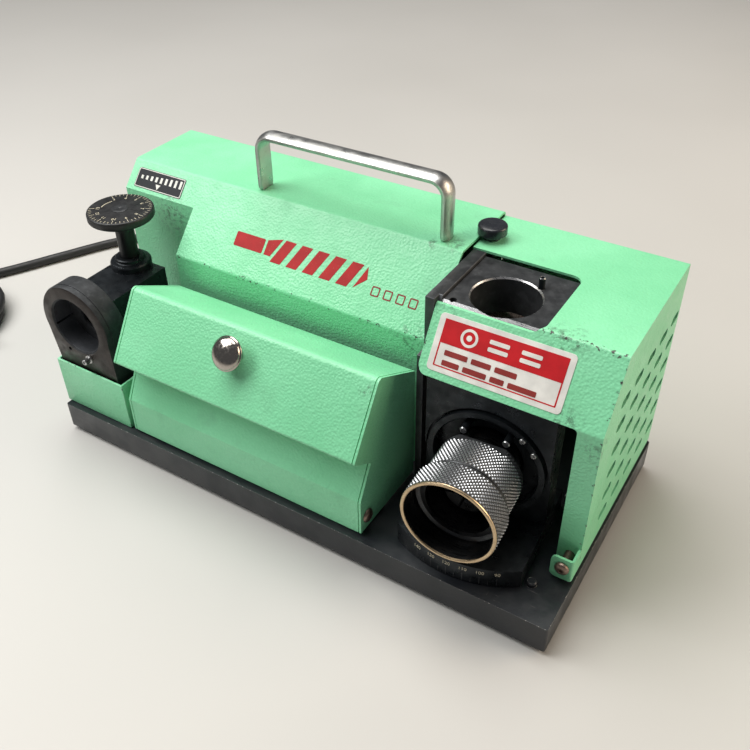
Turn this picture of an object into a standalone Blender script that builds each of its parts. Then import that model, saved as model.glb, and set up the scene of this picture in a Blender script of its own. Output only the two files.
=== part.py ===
"""Bench drill bit sharpener: a motor-driven conical wheel under a hinged cover, a swivelling
front port with its chuck, a top port for web thinning, and a depth-setting gauge.

Metres, +Z up. Everything is first laid out on a bench frame whose X = 0 is the left end of the
base plate, Y = 0 its front edge and Z = 0 the surface that the feet stand on. At the end the
whole machine is shifted so that the origin is the centre of its footprint.
"""
from math import atan2, cos, hypot, pi, radians, sin, tan

import bmesh
import bpy
from mathutils import Matrix, Vector

MM = 0.001
GAP = 0.3 * MM  # running clearance between neighbouring pieces

# ---- base ----
BASE_LENGTH = 320 * MM
BASE_DEPTH = 151 * MM
BASE_THICKNESS = 17 * MM
FOOT_HEIGHT = 3 * MM
FOOT_RADIUS = 11 * MM
FOOT_INSET = 22 * MM
DECK = FOOT_HEIGHT + BASE_THICKNESS  # top of the base plate

ROCKER_TIP = radians(8)  # the rocker lies this far either side of upright

# ---- sheet-metal covers ----
SHEET = 1.3 * MM
BEND = 2.6 * MM  # outer radius of the housing's bends
COVER_BEND = 1.8 * MM
HOUSING_LEFT = -6 * MM
HOUSING_RIGHT = 218 * MM
HOUSING_BACK = 150.7 * MM
HOUSING_TOP = DECK + 122.6 * MM
HOUSING_TOP_BEND_Y = 99.4 * MM
HOUSING_LOW_BEND_Y = 66.2 * MM
HOUSING_LOW_BEND_Z = DECK + 86.6 * MM
NOTCH_RIGHT = 48.1 * MM
NOTCH_Y = 86.3 * MM

COVER_LEFT = 218.6 * MM
COVER_RIGHT = 318.9 * MM
COVER_BACK = 150.7 * MM
COVER_TOP = DECK + 120.2 * MM
COVER_TOP_BEND_Y = 60.1 * MM
COVER_LOW_BEND_Y = 39.8 * MM
COVER_LOW_BEND_Z = DECK + 88.3 * MM
COVER_BOTTOM = DECK + 1.9 * MM
COVER_PANEL_LEFT = 225.2 * MM
COVER_STRIP_LEFT = 307 * MM
COVER_PANEL_TOP_Z = DECK + 117.7 * MM
CUTOUT_RIGHT = 279 * MM
CUTOUT_BACK_Y = 110 * MM
VENT_LENGTH, VENT_HEIGHT = 10.5 * MM, 4.2 * MM
VENT_COLUMNS, VENT_ROWS = 5, 6
VENT_PITCH_Y, VENT_PITCH_Z = 18.7 * MM, 14.7 * MM
VENT_CENTRE_Y, VENT_CENTRE_Z = 105 * MM, DECK + 54.7 * MM

COVER_HINGE_X = 313.6 * MM
COVER_HINGE_Z = DECK + 10 * MM
LUG_FRONT_Y = 30 * MM
LUG_LEFT = 307.5 * MM
LUG_HEIGHT = 14 * MM
HINGE_ROD_RADIUS = 2.3 * MM

KNOB_X, KNOB_Y = 223 * MM, 123 * MM
KNOB_RADIUS = 7.8 * MM
KNOB_TOP = DECK + 129 * MM

# ---- carry handle ----
HANDLE_LEFT, HANDLE_RIGHT = 84.8 * MM, 207.4 * MM
HANDLE_Y = 107.2 * MM
HANDLE_WIDTH = 11.4 * MM
HANDLE_THICKNESS = 4.2 * MM
HANDLE_RISE = 35 * MM
HANDLE_BEND = 11 * MM

# ---- bulkhead and top port ----
BULKHEAD_LEFT = 219.8 * MM
BULKHEAD_WEB = 3.8 * MM
BULKHEAD_BAR = 7.1 * MM
BULKHEAD_BAR_FRONT = 57 * MM
TOP_PORT_X, TOP_PORT_Y = 252.3 * MM, 78.3 * MM
TOP_PORT_LEFT, TOP_PORT_RIGHT = 227.2 * MM, 284 * MM
TOP_PORT_FRONT, TOP_PORT_BACK = 58.9 * MM, 107.4 * MM
TOP_PORT_TOP = DECK + 118.4 * MM
TOP_PORT_HEIGHT = 20 * MM
PORT_BORE = 17.2 * MM

# ---- front port: local frame at the swivel's vertical axis, chuck pointing along -Y ----
SWIVEL_X, SWIVEL_Y = 262 * MM, 66 * MM
SWIVEL_YAW = radians(3.5)
CHUCK_Z = DECK + 44.5 * MM
SWIVEL_STOP, SWIVEL_STOP_RADIUS = (302.5 * MM, 21 * MM), 2.6 * MM
SECTOR_RADIUS = 61.7 * MM
SECTOR_HALF_WIDTH = 33.5 * MM
SECTOR_HEIGHT = 12 * MM
UPRIGHT_FRONT, UPRIGHT_BACK = -20 * MM, -8 * MM
UPRIGHT_TOP = DECK + 86.5 * MM
LIP_OUTER, LIP_INNER = 31 * MM, 27.4 * MM
PIN_X, PIN_Z = 11 * MM, 20.3 * MM
PIN_RADIUS = 1.9 * MM

SLEEVE_RADIUS = PORT_BORE - GAP
BODY_RADIUS = 22.4 * MM
NUT_RADIUS = 24.6 * MM
BODY_REAR, BODY_FRONT = 28 * MM, 50.7 * MM
NUT_REAR, NUT_FRONT = 51 * MM, 68.5 * MM
NUT_BORE = 22.4 * MM

# ---- motor and wheel, on one shaft along X ----
SHAFT_Y, SHAFT_Z = 107 * MM, DECK + 53 * MM
SHAFT_RADIUS = 6 * MM
MOTOR_RADIUS = 36 * MM
WHEEL_RADIUS = 39 * MM
WHEEL_NOSE_RADIUS = 27 * MM
WHEEL_LEFT, WHEEL_RIM, WHEEL_NOSE = 228 * MM, 237 * MM, 261 * MM

# ---- collet door ----
DOOR_LEFT, DOOR_RIGHT = 55.6 * MM, 214.8 * MM
DOOR_PIVOT_Y, DOOR_PIVOT_Z = 9.5 * MM, DECK + 11 * MM
DOOR_KNOB_X = 132.5 * MM
DOOR_KNOB_RADIUS = 9.3 * MM

SPARE_COLLETS = 2

# ---- setting gauge ----
SOCKET_X, SOCKET_Z = 21.4 * MM, DECK + 62 * MM
SOCKET_OUTER, SOCKET_BORE = 25.6 * MM, 17.4 * MM
SOCKET_FRONT, SOCKET_BACK = 5.6 * MM, 20.4 * MM
SKIRT_LEFT, SKIRT_RIGHT = 0.9 * MM, 46.9 * MM
GAUGE_TOP = DECK + 75 * MM
DIAL_X, DIAL_Y = 17.5 * MM, 58.5 * MM
DIAL_RADIUS = 19.3 * MM
DIAL_TOP = DECK + 112.3 * MM
DIAL_THICKNESS = 5.6 * MM

# ---- mains lead ----
CORD_RADIUS = 3.5 * MM
CORD_EXIT = (30 * MM, 151 * MM, DECK + 14 * MM)
RELIEF_LENGTH = 28 * MM
CORD_LAY = (-0.47, -0.883)  # the way the cord runs along the floor into its coil
COIL_X, COIL_Y = -173.5 * MM, 31 * MM
COIL_MEAN_RADIUS = 40 * MM

materials = {}


# ------------------------------------------------------------------ helpers
def clear_scene():
    for old in list(bpy.data.objects):
        bpy.data.objects.remove(old, do_unlink=True)


def empty(name, parent=None):
    made = bpy.data.objects.new(name, None)
    bpy.context.scene.collection.objects.link(made)
    made.parent = parent
    return made


clear_scene()
bench = empty("bench")


def material(name, colour, roughness, metallic=0.0):
    if name not in materials:
        made = bpy.data.materials.new(name)
        made.use_nodes = True
        shader = made.node_tree.nodes["Principled BSDF"]
        shader.inputs["Base Color"].default_value = (*colour, 1.0)
        shader.inputs["Roughness"].default_value = roughness
        shader.inputs["Metallic"].default_value = metallic
        materials[name] = made
    return materials[name]


def green_paint():
    return material("green_paint", (0.30, 0.74, 0.44), 0.45)


def black_paint():
    return material("black_paint", (0.03, 0.035, 0.04), 0.5)


def cast_black():
    return material("cast_black", (0.05, 0.05, 0.055), 0.55, 0.6)


def steel():
    return material("steel", (0.62, 0.62, 0.62), 0.3, 1.0)


def rubber():
    return material("rubber", (0.02, 0.02, 0.02), 0.8)


def moved(mesh, offset):
    bmesh.ops.translate(mesh, verts=mesh.verts, vec=Vector(offset))
    return mesh


def add(name, mesh, look, origin=(0, 0, 0), smooth=False, parent=None):
    """Make an object whose mesh is given in its parent's frame and whose origin is `origin`."""
    moved(mesh, (-origin[0], -origin[1], -origin[2]))
    data = bpy.data.meshes.new(name)
    mesh.normal_update()
    mesh.to_mesh(data)
    mesh.free()
    if look:
        data.materials.append(look)
    if smooth:
        data.shade_smooth()
        data.set_sharp_from_angle(angle=radians(35))
    made = bpy.data.objects.new(name, data)
    bpy.context.scene.collection.objects.link(made)
    made.location = origin
    made.parent = parent or bench
    return made


def prism(outline, axis, start, end):
    """Extrude a closed outline along an axis. The outline's two numbers are the other two axes
    in X, Y, Z order."""
    mesh = bmesh.new()
    orders = {
        "X": lambda a, b, t: (t, a, b),
        "Y": lambda a, b, t: (a, t, b),
        "Z": lambda a, b, t: (a, b, t),
    }
    place = orders[axis]
    verts = [mesh.verts.new(place(a, b, start)) for a, b in outline]
    face = mesh.faces.new(verts)
    extruded = bmesh.ops.extrude_face_region(mesh, geom=[face])
    tops = [item for item in extruded["geom"] if isinstance(item, bmesh.types.BMVert)]
    shift = Vector(place(0, 0, end - start))
    bmesh.ops.translate(mesh, verts=tops, vec=shift)
    bmesh.ops.recalc_face_normals(mesh, faces=mesh.faces)
    return mesh


def block(x0, x1, y0, y1, z0, z1):
    return prism([(x0, y0), (x1, y0), (x1, y1), (x0, y1)], "Z", z0, z1)


def turned(profile, segments, axis="Z", centre=(0, 0, 0)):
    """Revolve (radius, height) points about an axis through `centre`. Points at radius 0 close
    the end; a profile with none makes a ring."""
    mesh = bmesh.new()
    closed_ring = all(radius > 0 for radius, _ in profile)
    rows = []
    for radius, height in profile:
        if radius == 0:
            rows.append([mesh.verts.new((0, 0, height))])
            continue
        angles = [2 * pi * step / segments for step in range(segments)]
        rows.append([mesh.verts.new((radius * cos(a), radius * sin(a), height)) for a in angles])
    pairs = list(zip(rows, rows[1:]))
    if closed_ring:
        pairs.append((rows[-1], rows[0]))
    for low, high in pairs:
        for step in range(segments):
            after = (step + 1) % segments
            if len(low) == 1:
                mesh.faces.new((low[0], high[step], high[after]))
            elif len(high) == 1:
                mesh.faces.new((low[step], low[after], high[0]))
            else:
                mesh.faces.new((low[step], low[after], high[after], high[step]))
    turn = {
        "Z": Matrix.Identity(3),
        "X": Matrix.Rotation(pi / 2, 3, "Y"),
        "Y": Matrix.Rotation(-pi / 2, 3, "X"),
    }
    bmesh.ops.rotate(mesh, verts=mesh.verts, matrix=turn[axis])
    bmesh.ops.recalc_face_normals(mesh, faces=mesh.faces)
    return moved(mesh, centre)


def rod(radius, start, end, segments, axis="Z", centre=(0, 0)):
    """A plain cylinder along an axis; `centre` is its place on the other two axes."""
    place = {"Z": (*centre, 0), "X": (0, *centre), "Y": (centre[0], 0, centre[1])}[axis]
    return turned([(0, start), (radius, start), (radius, end), (0, end)], segments, axis, place)


def ring(inner, outer, start, end, segments, axis="Z", centre=(0, 0)):
    place = {"Z": (*centre, 0), "X": (0, *centre), "Y": (centre[0], 0, centre[1])}[axis]
    return turned([(inner, start), (outer, start), (outer, end), (inner, end)], segments, axis, place)


def offset(outline, distance):
    """Move every side of a closed counter-clockwise outline inwards."""
    count = len(outline)
    lines = []
    for index in range(count):
        (x0, y0), (x1, y1) = outline[index], outline[(index + 1) % count]
        length = hypot(x1 - x0, y1 - y0)
        normal = (-(y1 - y0) / length, (x1 - x0) / length)
        lines.append((normal, normal[0] * x0 + normal[1] * y0 + distance))
    inner = []
    for index in range(count):
        (a0, b0), c0 = lines[index - 1]
        (a1, b1), c1 = lines[index]
        det = a0 * b1 - a1 * b0
        inner.append(((c0 * b1 - c1 * b0) / det, (a0 * c1 - a1 * c0) / det))
    return inner


def rounded(outline, radii, steps=4):
    """Replace corners of a closed outline by arcs; a radius of 0 keeps the corner."""
    result = []
    count = len(outline)
    for index, (corner, radius) in enumerate(zip(outline, radii)):
        if radius == 0:
            result.append(corner)
            continue
        here = Vector(corner)
        back = (Vector(outline[index - 1]) - here).normalized()
        ahead = (Vector(outline[(index + 1) % count]) - here).normalized()
        half = back.angle(ahead) / 2
        centre = here + (back + ahead).normalized() * (radius / sin(half))
        start = here + back * (radius / tan(half)) - centre
        end = here + ahead * (radius / tan(half)) - centre
        first, last = atan2(start.y, start.x), atan2(end.y, end.x)
        sweep = (last - first + pi) % (2 * pi) - pi
        for step in range(steps + 1):
            angle = first + sweep * step / steps
            result.append((centre.x + radius * cos(angle), centre.y + radius * sin(angle)))
    return result


def arc(cx, cy, radius, start_deg, end_deg, steps):
    angles = [radians(start_deg + (end_deg - start_deg) * step / steps) for step in range(steps + 1)]
    return [(cx + radius * cos(angle), cy + radius * sin(angle)) for angle in angles]


def obround(cx, cy, length, height, steps=3):
    """Slot with round ends, its length along the outline's first direction."""
    radius = height / 2
    reach = length / 2 - radius
    return arc(cx + reach, cy, radius, -90, 90, steps) + arc(cx - reach, cy, radius, 90, 270, steps)


def helper(name, mesh, parent=None):
    """A cutter or an added piece for a Boolean: never part of the machine itself."""
    made = add(name, mesh, None, parent=parent)
    made.hide_render = True
    made.display_type = "WIRE"
    return made


def boolean(target, mesh, operation, parent=None):
    tool = helper(target.name + "_" + operation.lower(), mesh, parent or target.parent)
    step = target.modifiers.new(operation.lower(), "BOOLEAN")
    step.operation = operation
    step.solver = "EXACT"
    step.object = tool


def cut(target, *meshes):
    for mesh in meshes:
        boolean(target, mesh, "DIFFERENCE")


def join(target, *meshes):
    for mesh in meshes:
        boolean(target, mesh, "UNION")


def merged(meshes):
    """Several separate meshes in one, as a cutter with many separate holes."""
    whole = bmesh.new()
    for mesh in meshes:
        data = bpy.data.meshes.new("scratch")
        mesh.to_mesh(data)
        mesh.free()
        whole.from_mesh(data)
        bpy.data.meshes.remove(data)
    return whole


# ------------------------------------------------------------------ base
def base_plate():
    plate = rounded(
        [(0, 0), (BASE_LENGTH, 0), (BASE_LENGTH, BASE_DEPTH), (0, BASE_DEPTH)], [1.2 * MM] * 4, 2
    )
    made = add("base_plate", prism(plate, "Z", FOOT_HEIGHT, DECK), black_paint())
    cut(made, rod(4.3 * MM, DECK - 12 * MM, DECK + MM, 16, "Z", (SWIVEL_X, SWIVEL_Y)))
    join(made, rod(SWIVEL_STOP_RADIUS, DECK - MM, DECK + 2.6 * MM, 14, "Z", SWIVEL_STOP))


def feet():
    spots = [
        (x, y)
        for y in (FOOT_INSET, BASE_DEPTH - FOOT_INSET)
        for x in (FOOT_INSET, BASE_LENGTH - FOOT_INSET)
    ]
    for number, (x, y) in enumerate(spots, start=1):
        top = FOOT_HEIGHT - GAP
        profile = [
            (0, 0), (FOOT_RADIUS - 0.8 * MM, 0), (FOOT_RADIUS, 0.8 * MM), (FOOT_RADIUS, top), (0, top)
        ]
        add(f"foot_{number}", turned(profile, 16, "Z", (x, y, 0)), rubber())


# ------------------------------------------------------------------ main housing
def housing_outline(front_y):
    """Y-Z outline of the housing, counter-clockwise, with its front wall at `front_y`."""
    bottom = DECK + GAP
    slope = (HOUSING_TOP - HOUSING_LOW_BEND_Z) / (HOUSING_TOP_BEND_Y - HOUSING_LOW_BEND_Y)
    bend_z = HOUSING_TOP - (HOUSING_TOP_BEND_Y - front_y) * slope
    outline = [(front_y, bottom), (HOUSING_BACK, bottom), (HOUSING_BACK, HOUSING_TOP)]
    return outline + [(HOUSING_TOP_BEND_Y, HOUSING_TOP), (front_y, bend_z)], [0, 0, BEND, BEND, BEND]


def housing_cavity(front_y, wall, start, end):
    outline, radii = housing_outline(front_y)
    inner = offset(outline, wall)
    floor = DECK - 5 * MM
    inner[0] = (inner[0][0], floor)
    inner[1] = (inner[1][0], floor)
    return prism(rounded(inner, [max(0, radius - wall) for radius in radii], 3), "X", start, end)


def main_housing():
    outline, radii = housing_outline(HOUSING_LOW_BEND_Y)
    solid = prism(rounded(outline, radii), "X", HOUSING_LEFT, HOUSING_RIGHT)
    made = add("main_housing", solid, green_paint())
    cut(made, block(HOUSING_LEFT - 5 * MM, NOTCH_RIGHT, 0, NOTCH_Y, 0, HOUSING_TOP + 5 * MM))
    cut(made, housing_cavity(HOUSING_LOW_BEND_Y, SHEET, NOTCH_RIGHT + SHEET, HOUSING_RIGHT + 5 * MM))
    cut(made, housing_cavity(NOTCH_Y, SHEET + 0.05 * MM, HOUSING_LEFT + SHEET, NOTCH_RIGHT + 5 * MM))
    switch_y, switch_z = 118 * MM, DECK + 88 * MM
    cut(
        made,
        block(HOUSING_LEFT - 5 * MM, HOUSING_LEFT + 5 * MM, switch_y - 14.2 * MM, switch_y + 14.2 * MM,
              switch_z - 11.2 * MM, switch_z + 11.2 * MM),
        rod(6.2 * MM, HOUSING_BACK - 6 * MM, HOUSING_BACK + 6 * MM, 20, "Y", (CORD_EXIT[0], CORD_EXIT[2])),
    )
    foot_z = (HOUSING_TOP - 10 * MM, HOUSING_TOP + 10 * MM)
    for x in (HANDLE_LEFT + HANDLE_THICKNESS / 2, HANDLE_RIGHT - HANDLE_THICKNESS / 2):
        cut(made, rod(1.5 * MM, *foot_z, 10, "Z", (x, HANDLE_Y)))


def power_switch():
    y, z = 118 * MM, DECK + 88 * MM
    bezel = block(
        HOUSING_LEFT - 2 * MM, HOUSING_LEFT - GAP, y - 16 * MM, y + 16 * MM, z - 13 * MM, z + 13 * MM
    )
    made = add("power_switch", bezel, black_paint())
    join(
        made,
        block(
            HOUSING_LEFT - MM, HOUSING_LEFT + 24 * MM, y - 13.8 * MM, y + 13.8 * MM, z - 10.8 * MM,
            z + 10.8 * MM,
        ),
    )
    cut(
        made,
        block(
            HOUSING_LEFT - 9 * MM, HOUSING_LEFT + 9 * MM, y - 11.5 * MM, y + 11.5 * MM, z - 8.5 * MM,
            z + 8.5 * MM,
        ),
    )
    half, pivot_x = 11 * MM, HOUSING_LEFT + MM
    shape = [
        (-6.2 * MM, 7.4 * MM), (-4.6 * MM, 0), (-6.2 * MM, -7.4 * MM), (3 * MM, -7 * MM), (3 * MM, 7 * MM)
    ]
    tipped = [
        (a * cos(ROCKER_TIP) + b * sin(ROCKER_TIP), b * cos(ROCKER_TIP) - a * sin(ROCKER_TIP))
        for a, b in shape
    ]
    key = prism([(pivot_x + a, z + b) for a, b in tipped], "Y", y - half, y + half)
    add("switch_rocker", key, material("rocker", (0.02, 0.02, 0.02), 0.35), origin=(pivot_x, y, z))


# ------------------------------------------------------------------ right cover
def cover_outline(bottom):
    outline = [
        (COVER_LOW_BEND_Y, bottom),
        (COVER_BACK, bottom),
        (COVER_BACK, COVER_TOP),
        (COVER_TOP_BEND_Y, COVER_TOP),
        (COVER_LOW_BEND_Y, COVER_LOW_BEND_Z),
    ]
    return outline, [0, 0, COVER_BEND, COVER_BEND, COVER_BEND]


def cover_lug():
    """Forward tongue of the right wall, bent inwards in front of the strip, with the screw hole."""
    top = COVER_BOTTOM + LUG_HEIGHT
    path = [
        (COVER_RIGHT, COVER_LOW_BEND_Y + 4 * MM),
        (COVER_RIGHT - SHEET, COVER_LOW_BEND_Y + 4 * MM),
        (COVER_RIGHT - SHEET, LUG_FRONT_Y + SHEET),
        (LUG_LEFT, LUG_FRONT_Y + SHEET),
        (LUG_LEFT, LUG_FRONT_Y),
        (COVER_RIGHT, LUG_FRONT_Y),
    ]
    return prism(rounded(path, [0, 0, 0, 0, 0, 1.6 * MM], 3), "Z", COVER_BOTTOM, top)


def right_cover():
    outline, radii = cover_outline(COVER_BOTTOM)
    solid = prism(rounded(outline, radii), "X", COVER_LEFT, COVER_RIGHT)
    hinge = (COVER_HINGE_X, COVER_LOW_BEND_Y, COVER_HINGE_Z)
    made = add("right_cover", solid, green_paint(), origin=hinge)
    inner = offset(outline, SHEET)
    inner[0], inner[1] = (inner[0][0], DECK - 5 * MM), (inner[1][0], DECK - 5 * MM)
    cavity = prism(
        rounded(inner, [max(0, r - SHEET) for r in radii], 3), "X", COVER_LEFT - 5 * MM, COVER_RIGHT - SHEET
    )
    cut(made, cavity)
    left, low, high = COVER_LEFT - 5 * MM, DECK - 5 * MM, COVER_TOP + 5 * MM
    window = [
        (left, low), (COVER_STRIP_LEFT, low), (COVER_STRIP_LEFT, COVER_LOW_BEND_Z),
        (COVER_PANEL_LEFT, COVER_LOW_BEND_Z), (COVER_PANEL_LEFT, high), (left, high),
    ]
    window = rounded(window, [0, 0, 2 * MM, 5 * MM, 0, 0], 4)
    cut(made, prism(window, "Y", COVER_LOW_BEND_Y - 5 * MM, COVER_TOP_BEND_Y + 3 * MM))
    front = COVER_TOP_BEND_Y - 1.6 * MM
    cutout = [(left, front), (CUTOUT_RIGHT, front), (CUTOUT_RIGHT, CUTOUT_BACK_Y), (left, CUTOUT_BACK_Y)]
    cutout = rounded(cutout, [0, 6 * MM, 6 * MM, 0], 4)
    cut(made, prism(cutout, "Z", COVER_PANEL_TOP_Z, high))
    vents = []
    for column in range(VENT_COLUMNS):
        for row in range(VENT_ROWS):
            y = VENT_CENTRE_Y + (column - (VENT_COLUMNS - 1) / 2) * VENT_PITCH_Y
            z = VENT_CENTRE_Z + (row - (VENT_ROWS - 1) / 2) * VENT_PITCH_Z
            vents.append(
                prism(
                    obround(y, z, VENT_LENGTH, VENT_HEIGHT, 2), "X", COVER_RIGHT - 4 * MM,
                    COVER_RIGHT + 4 * MM,
                )
            )
    cut(made, merged(vents))
    cut(made, rod(2.8 * MM, COVER_TOP - 5 * MM, COVER_TOP + 5 * MM, 14, "Z", (KNOB_X, KNOB_Y)))
    join(made, cover_lug())
    hole = (COVER_HINGE_X, COVER_HINGE_Z)
    cut(made, rod(2.6 * MM, LUG_FRONT_Y - 4 * MM, COVER_LOW_BEND_Y + 4 * MM, 14, "Y", hole))
    cut(made, rod(2.6 * MM, COVER_BACK - 4 * MM, COVER_BACK + 4 * MM, 14, "Y", hole))


def hinge_bracket(name, start, end):
    """Post on the deck with an arm that carries the hinge rod; it stays inside the circle that
    the cover's wall sweeps below the axis."""
    arm, x, z = 3.4 * MM, COVER_HINGE_X, COVER_HINGE_Z
    leg_left, leg_right = x - 16 * MM, x - 10.6 * MM
    outline = [(leg_left, DECK + GAP), (leg_right, DECK + GAP), (leg_right, z - arm)]
    outline += arc(x, z, arm, -90, 90, 6) + [(leg_left, z + arm)]
    made = add(name, prism(outline, "Y", start, end), steel())
    cut(made, rod(HINGE_ROD_RADIUS + GAP / 2, start - MM, end + MM, 16, "Y", (x, z)))


def hinge_hardware():
    """Rod on which the right cover swings, with a button head at each end, and its brackets."""
    hinge_bracket("hinge_bracket_front", 72 * MM, 82 * MM)
    hinge_bracket("hinge_bracket_rear", 136 * MM, 147 * MM)
    front, back = LUG_FRONT_Y - GAP, HOUSING_BACK + GAP
    profile = [
        (0, front - 2.3 * MM), (
            2.2 * MM, front - 2.2 * MM
        ), (3.5 * MM, front - 1.2 * MM), (3.7 * MM, front),
        (HINGE_ROD_RADIUS, front), (HINGE_ROD_RADIUS, back), (3.7 * MM, back), (3.5 * MM, back + 1.2 * MM),
        (2.2 * MM, back + 2.2 * MM), (0, back + 2.3 * MM),
    ]
    rod_place = (COVER_HINGE_X, 0, COVER_HINGE_Z)
    add("hinge_rod", turned(profile, 12, "Y", rod_place), steel(), smooth=True)


def cover_knob():
    stud_end, under = DECK + 107 * MM, COVER_TOP + GAP
    profile = [
        (0, stud_end), (2 * MM, stud_end), (2.2 * MM, stud_end + 0.4 * MM), (2.2 * MM, under),
        (4.5 * MM, under), (4.5 * MM, HOUSING_TOP + 0.6 * MM), (
            KNOB_RADIUS - 0.6 * MM, HOUSING_TOP + 0.6 * MM
        ),
        (KNOB_RADIUS, HOUSING_TOP + 1.2 * MM), (KNOB_RADIUS, KNOB_TOP - 1.2 * MM),
        (KNOB_RADIUS - 1 * MM, KNOB_TOP - 0.3 * MM), (KNOB_RADIUS - 2.4 * MM, KNOB_TOP), (0, KNOB_TOP),
    ]
    origin = (KNOB_X, KNOB_Y, COVER_TOP)
    add(
        "cover_knob", turned(profile, 24, "Z", (KNOB_X, KNOB_Y, 0)), black_paint(), origin=origin,
        smooth=True,
    )


def knob_bracket():
    """Forked plate behind the bulkhead's top bar; its slot is open towards the cover."""
    back, plate_z = 108.6 * MM, DECK + 111 * MM
    made = add(
        "knob_bracket",
        block(BULKHEAD_LEFT - 6 * MM, 233 * MM, back + GAP, 136 * MM, plate_z - 2.5 * MM, plate_z), steel(),
    )
    join(
        made,
        block(BULKHEAD_LEFT - 6 * MM, 226 * MM, back + GAP, back + 3 * MM, DECK + 98 * MM, plate_z - MM),
    )
    slot = [(240 * MM, KNOB_Y - 2.8 * MM), (240 * MM, KNOB_Y + 2.8 * MM)]
    slot += arc(KNOB_X, KNOB_Y, 2.8 * MM, 90, 270, 8)
    cut(made, prism(slot, "Z", plate_z - 6 * MM, plate_z + 3 * MM))


# ------------------------------------------------------------------ handle
def handle():
    top = HOUSING_TOP + HANDLE_RISE
    foot = HOUSING_TOP + GAP
    outer = [(HANDLE_LEFT, foot), (HANDLE_RIGHT, foot), (HANDLE_RIGHT, top), (HANDLE_LEFT, top)]
    outer = rounded(outer, [0, 0, HANDLE_BEND, HANDLE_BEND], 6)
    inner_left, inner_right = HANDLE_LEFT + HANDLE_THICKNESS, HANDLE_RIGHT - HANDLE_THICKNESS
    inner_top, low = top - HANDLE_THICKNESS, foot - 5 * MM
    inner = [(inner_left, low), (inner_right, low), (inner_right, inner_top), (inner_left, inner_top)]
    inner = rounded(inner, [0, 0, HANDLE_BEND - HANDLE_THICKNESS, HANDLE_BEND - HANDLE_THICKNESS], 6)
    half = HANDLE_WIDTH / 2
    made = add("carry_handle", prism(outer, "Y", HANDLE_Y - half, HANDLE_Y + half), steel())
    cut(made, prism(inner, "Y", HANDLE_Y - half - MM, HANDLE_Y + half + MM))
    for side, x in (("left", HANDLE_LEFT), ("right", HANDLE_RIGHT - HANDLE_THICKNESS)):
        centre = (x + HANDLE_THICKNESS / 2, HANDLE_Y)
        cut(made, rod(1.5 * MM, foot - MM, foot + 8 * MM, 10, "Z", centre))
        under = HOUSING_TOP - SHEET - GAP
        profile = [
            (0, under - 2.6 * MM), (3.4 * MM, under - 2.6 * MM), (3.4 * MM, under), (1.2 * MM, under),
            (1.2 * MM, foot + 7 * MM), (0, foot + 7 * MM),
        ]
        add(f"handle_screw_{side}", turned(profile, 12, "Z", (*centre, 0)), steel(), smooth=True)


# ------------------------------------------------------------------ bulkhead and top port
def under_cover_slope(y):
    """Height just below the inner face of the right cover's sloped front panel."""
    rise, run = COVER_TOP - COVER_LOW_BEND_Z, COVER_TOP_BEND_Y - COVER_LOW_BEND_Y
    across = (SHEET + GAP) * hypot(rise, run) / run
    return COVER_LOW_BEND_Z + (y - COVER_LOW_BEND_Y) * rise / run - across


def bulkhead():
    web_right = BULKHEAD_LEFT + BULKHEAD_WEB
    bar_right = BULKHEAD_LEFT + BULKHEAD_BAR
    bar_bottom, bar_top = DECK + 89 * MM, DECK + 120.2 * MM
    made = add(
        "bulkhead", block(BULKHEAD_LEFT, web_right, 50 * MM, 145 * MM, DECK + GAP, bar_bottom + MM),
        cast_black(),
    )
    join(made, block(BULKHEAD_LEFT, bar_right, BULKHEAD_BAR_FRONT, 108.6 * MM, bar_bottom, bar_top))
    low, high = BULKHEAD_BAR_FRONT - 5 * MM, COVER_TOP_BEND_Y + 4 * MM
    relief = [
        (low, under_cover_slope(low)), (high, under_cover_slope(high)), (low, under_cover_slope(high))
    ]
    cut(made, prism(relief, "X", COVER_PANEL_LEFT - GAP, bar_right + MM))
    cut(made, rod(18 * MM, BULKHEAD_LEFT - 5 * MM, web_right + 5 * MM, 28, "X", (SHAFT_Y, SHAFT_Z)))


def top_port():
    bottom = TOP_PORT_TOP - TOP_PORT_HEIGHT
    chamfer = 3.2 * MM
    side = [
        (TOP_PORT_FRONT, bottom), (TOP_PORT_BACK, bottom), (TOP_PORT_BACK, TOP_PORT_TOP),
        (TOP_PORT_FRONT + chamfer, TOP_PORT_TOP), (TOP_PORT_FRONT, TOP_PORT_TOP - chamfer),
    ]
    made = add("thinning_port", prism(side, "X", TOP_PORT_LEFT, TOP_PORT_RIGHT), cast_black())
    centre = (TOP_PORT_X, TOP_PORT_Y)
    cut(made, rod(PORT_BORE, bottom - MM, TOP_PORT_TOP + MM, 32, "Z", centre))
    cut(made, rod(1.8 * MM, TOP_PORT_TOP - 6 * MM, TOP_PORT_TOP + MM, 10, "Z", (231.5 * MM, 63.5 * MM)))
    pin = (263.3 * MM, 94.2 * MM)
    cut(made, rod(1.9 * MM, TOP_PORT_TOP - 9 * MM, TOP_PORT_TOP + MM, 12, "Z", pin))
    tip = TOP_PORT_TOP + 6 * MM
    profile = [
        (0, TOP_PORT_TOP - 8 * MM), (1.6 * MM, TOP_PORT_TOP - 8 * MM), (1.6 * MM, tip - 0.4 * MM),
        (1.2 * MM, tip), (0, tip),
    ]
    add("thinning_pin", turned(profile, 14, "Z", (*pin, 0)), cast_black(), smooth=True)


# ------------------------------------------------------------------ front port
def port_frame():
    """Empty on the swivel's axis; the front port and the chuck are laid out in its frame."""
    pivot = empty("port_frame", bench)
    pivot.location = (SWIVEL_X, SWIVEL_Y, 0)
    pivot.rotation_euler.z = SWIVEL_YAW
    return pivot


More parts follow.
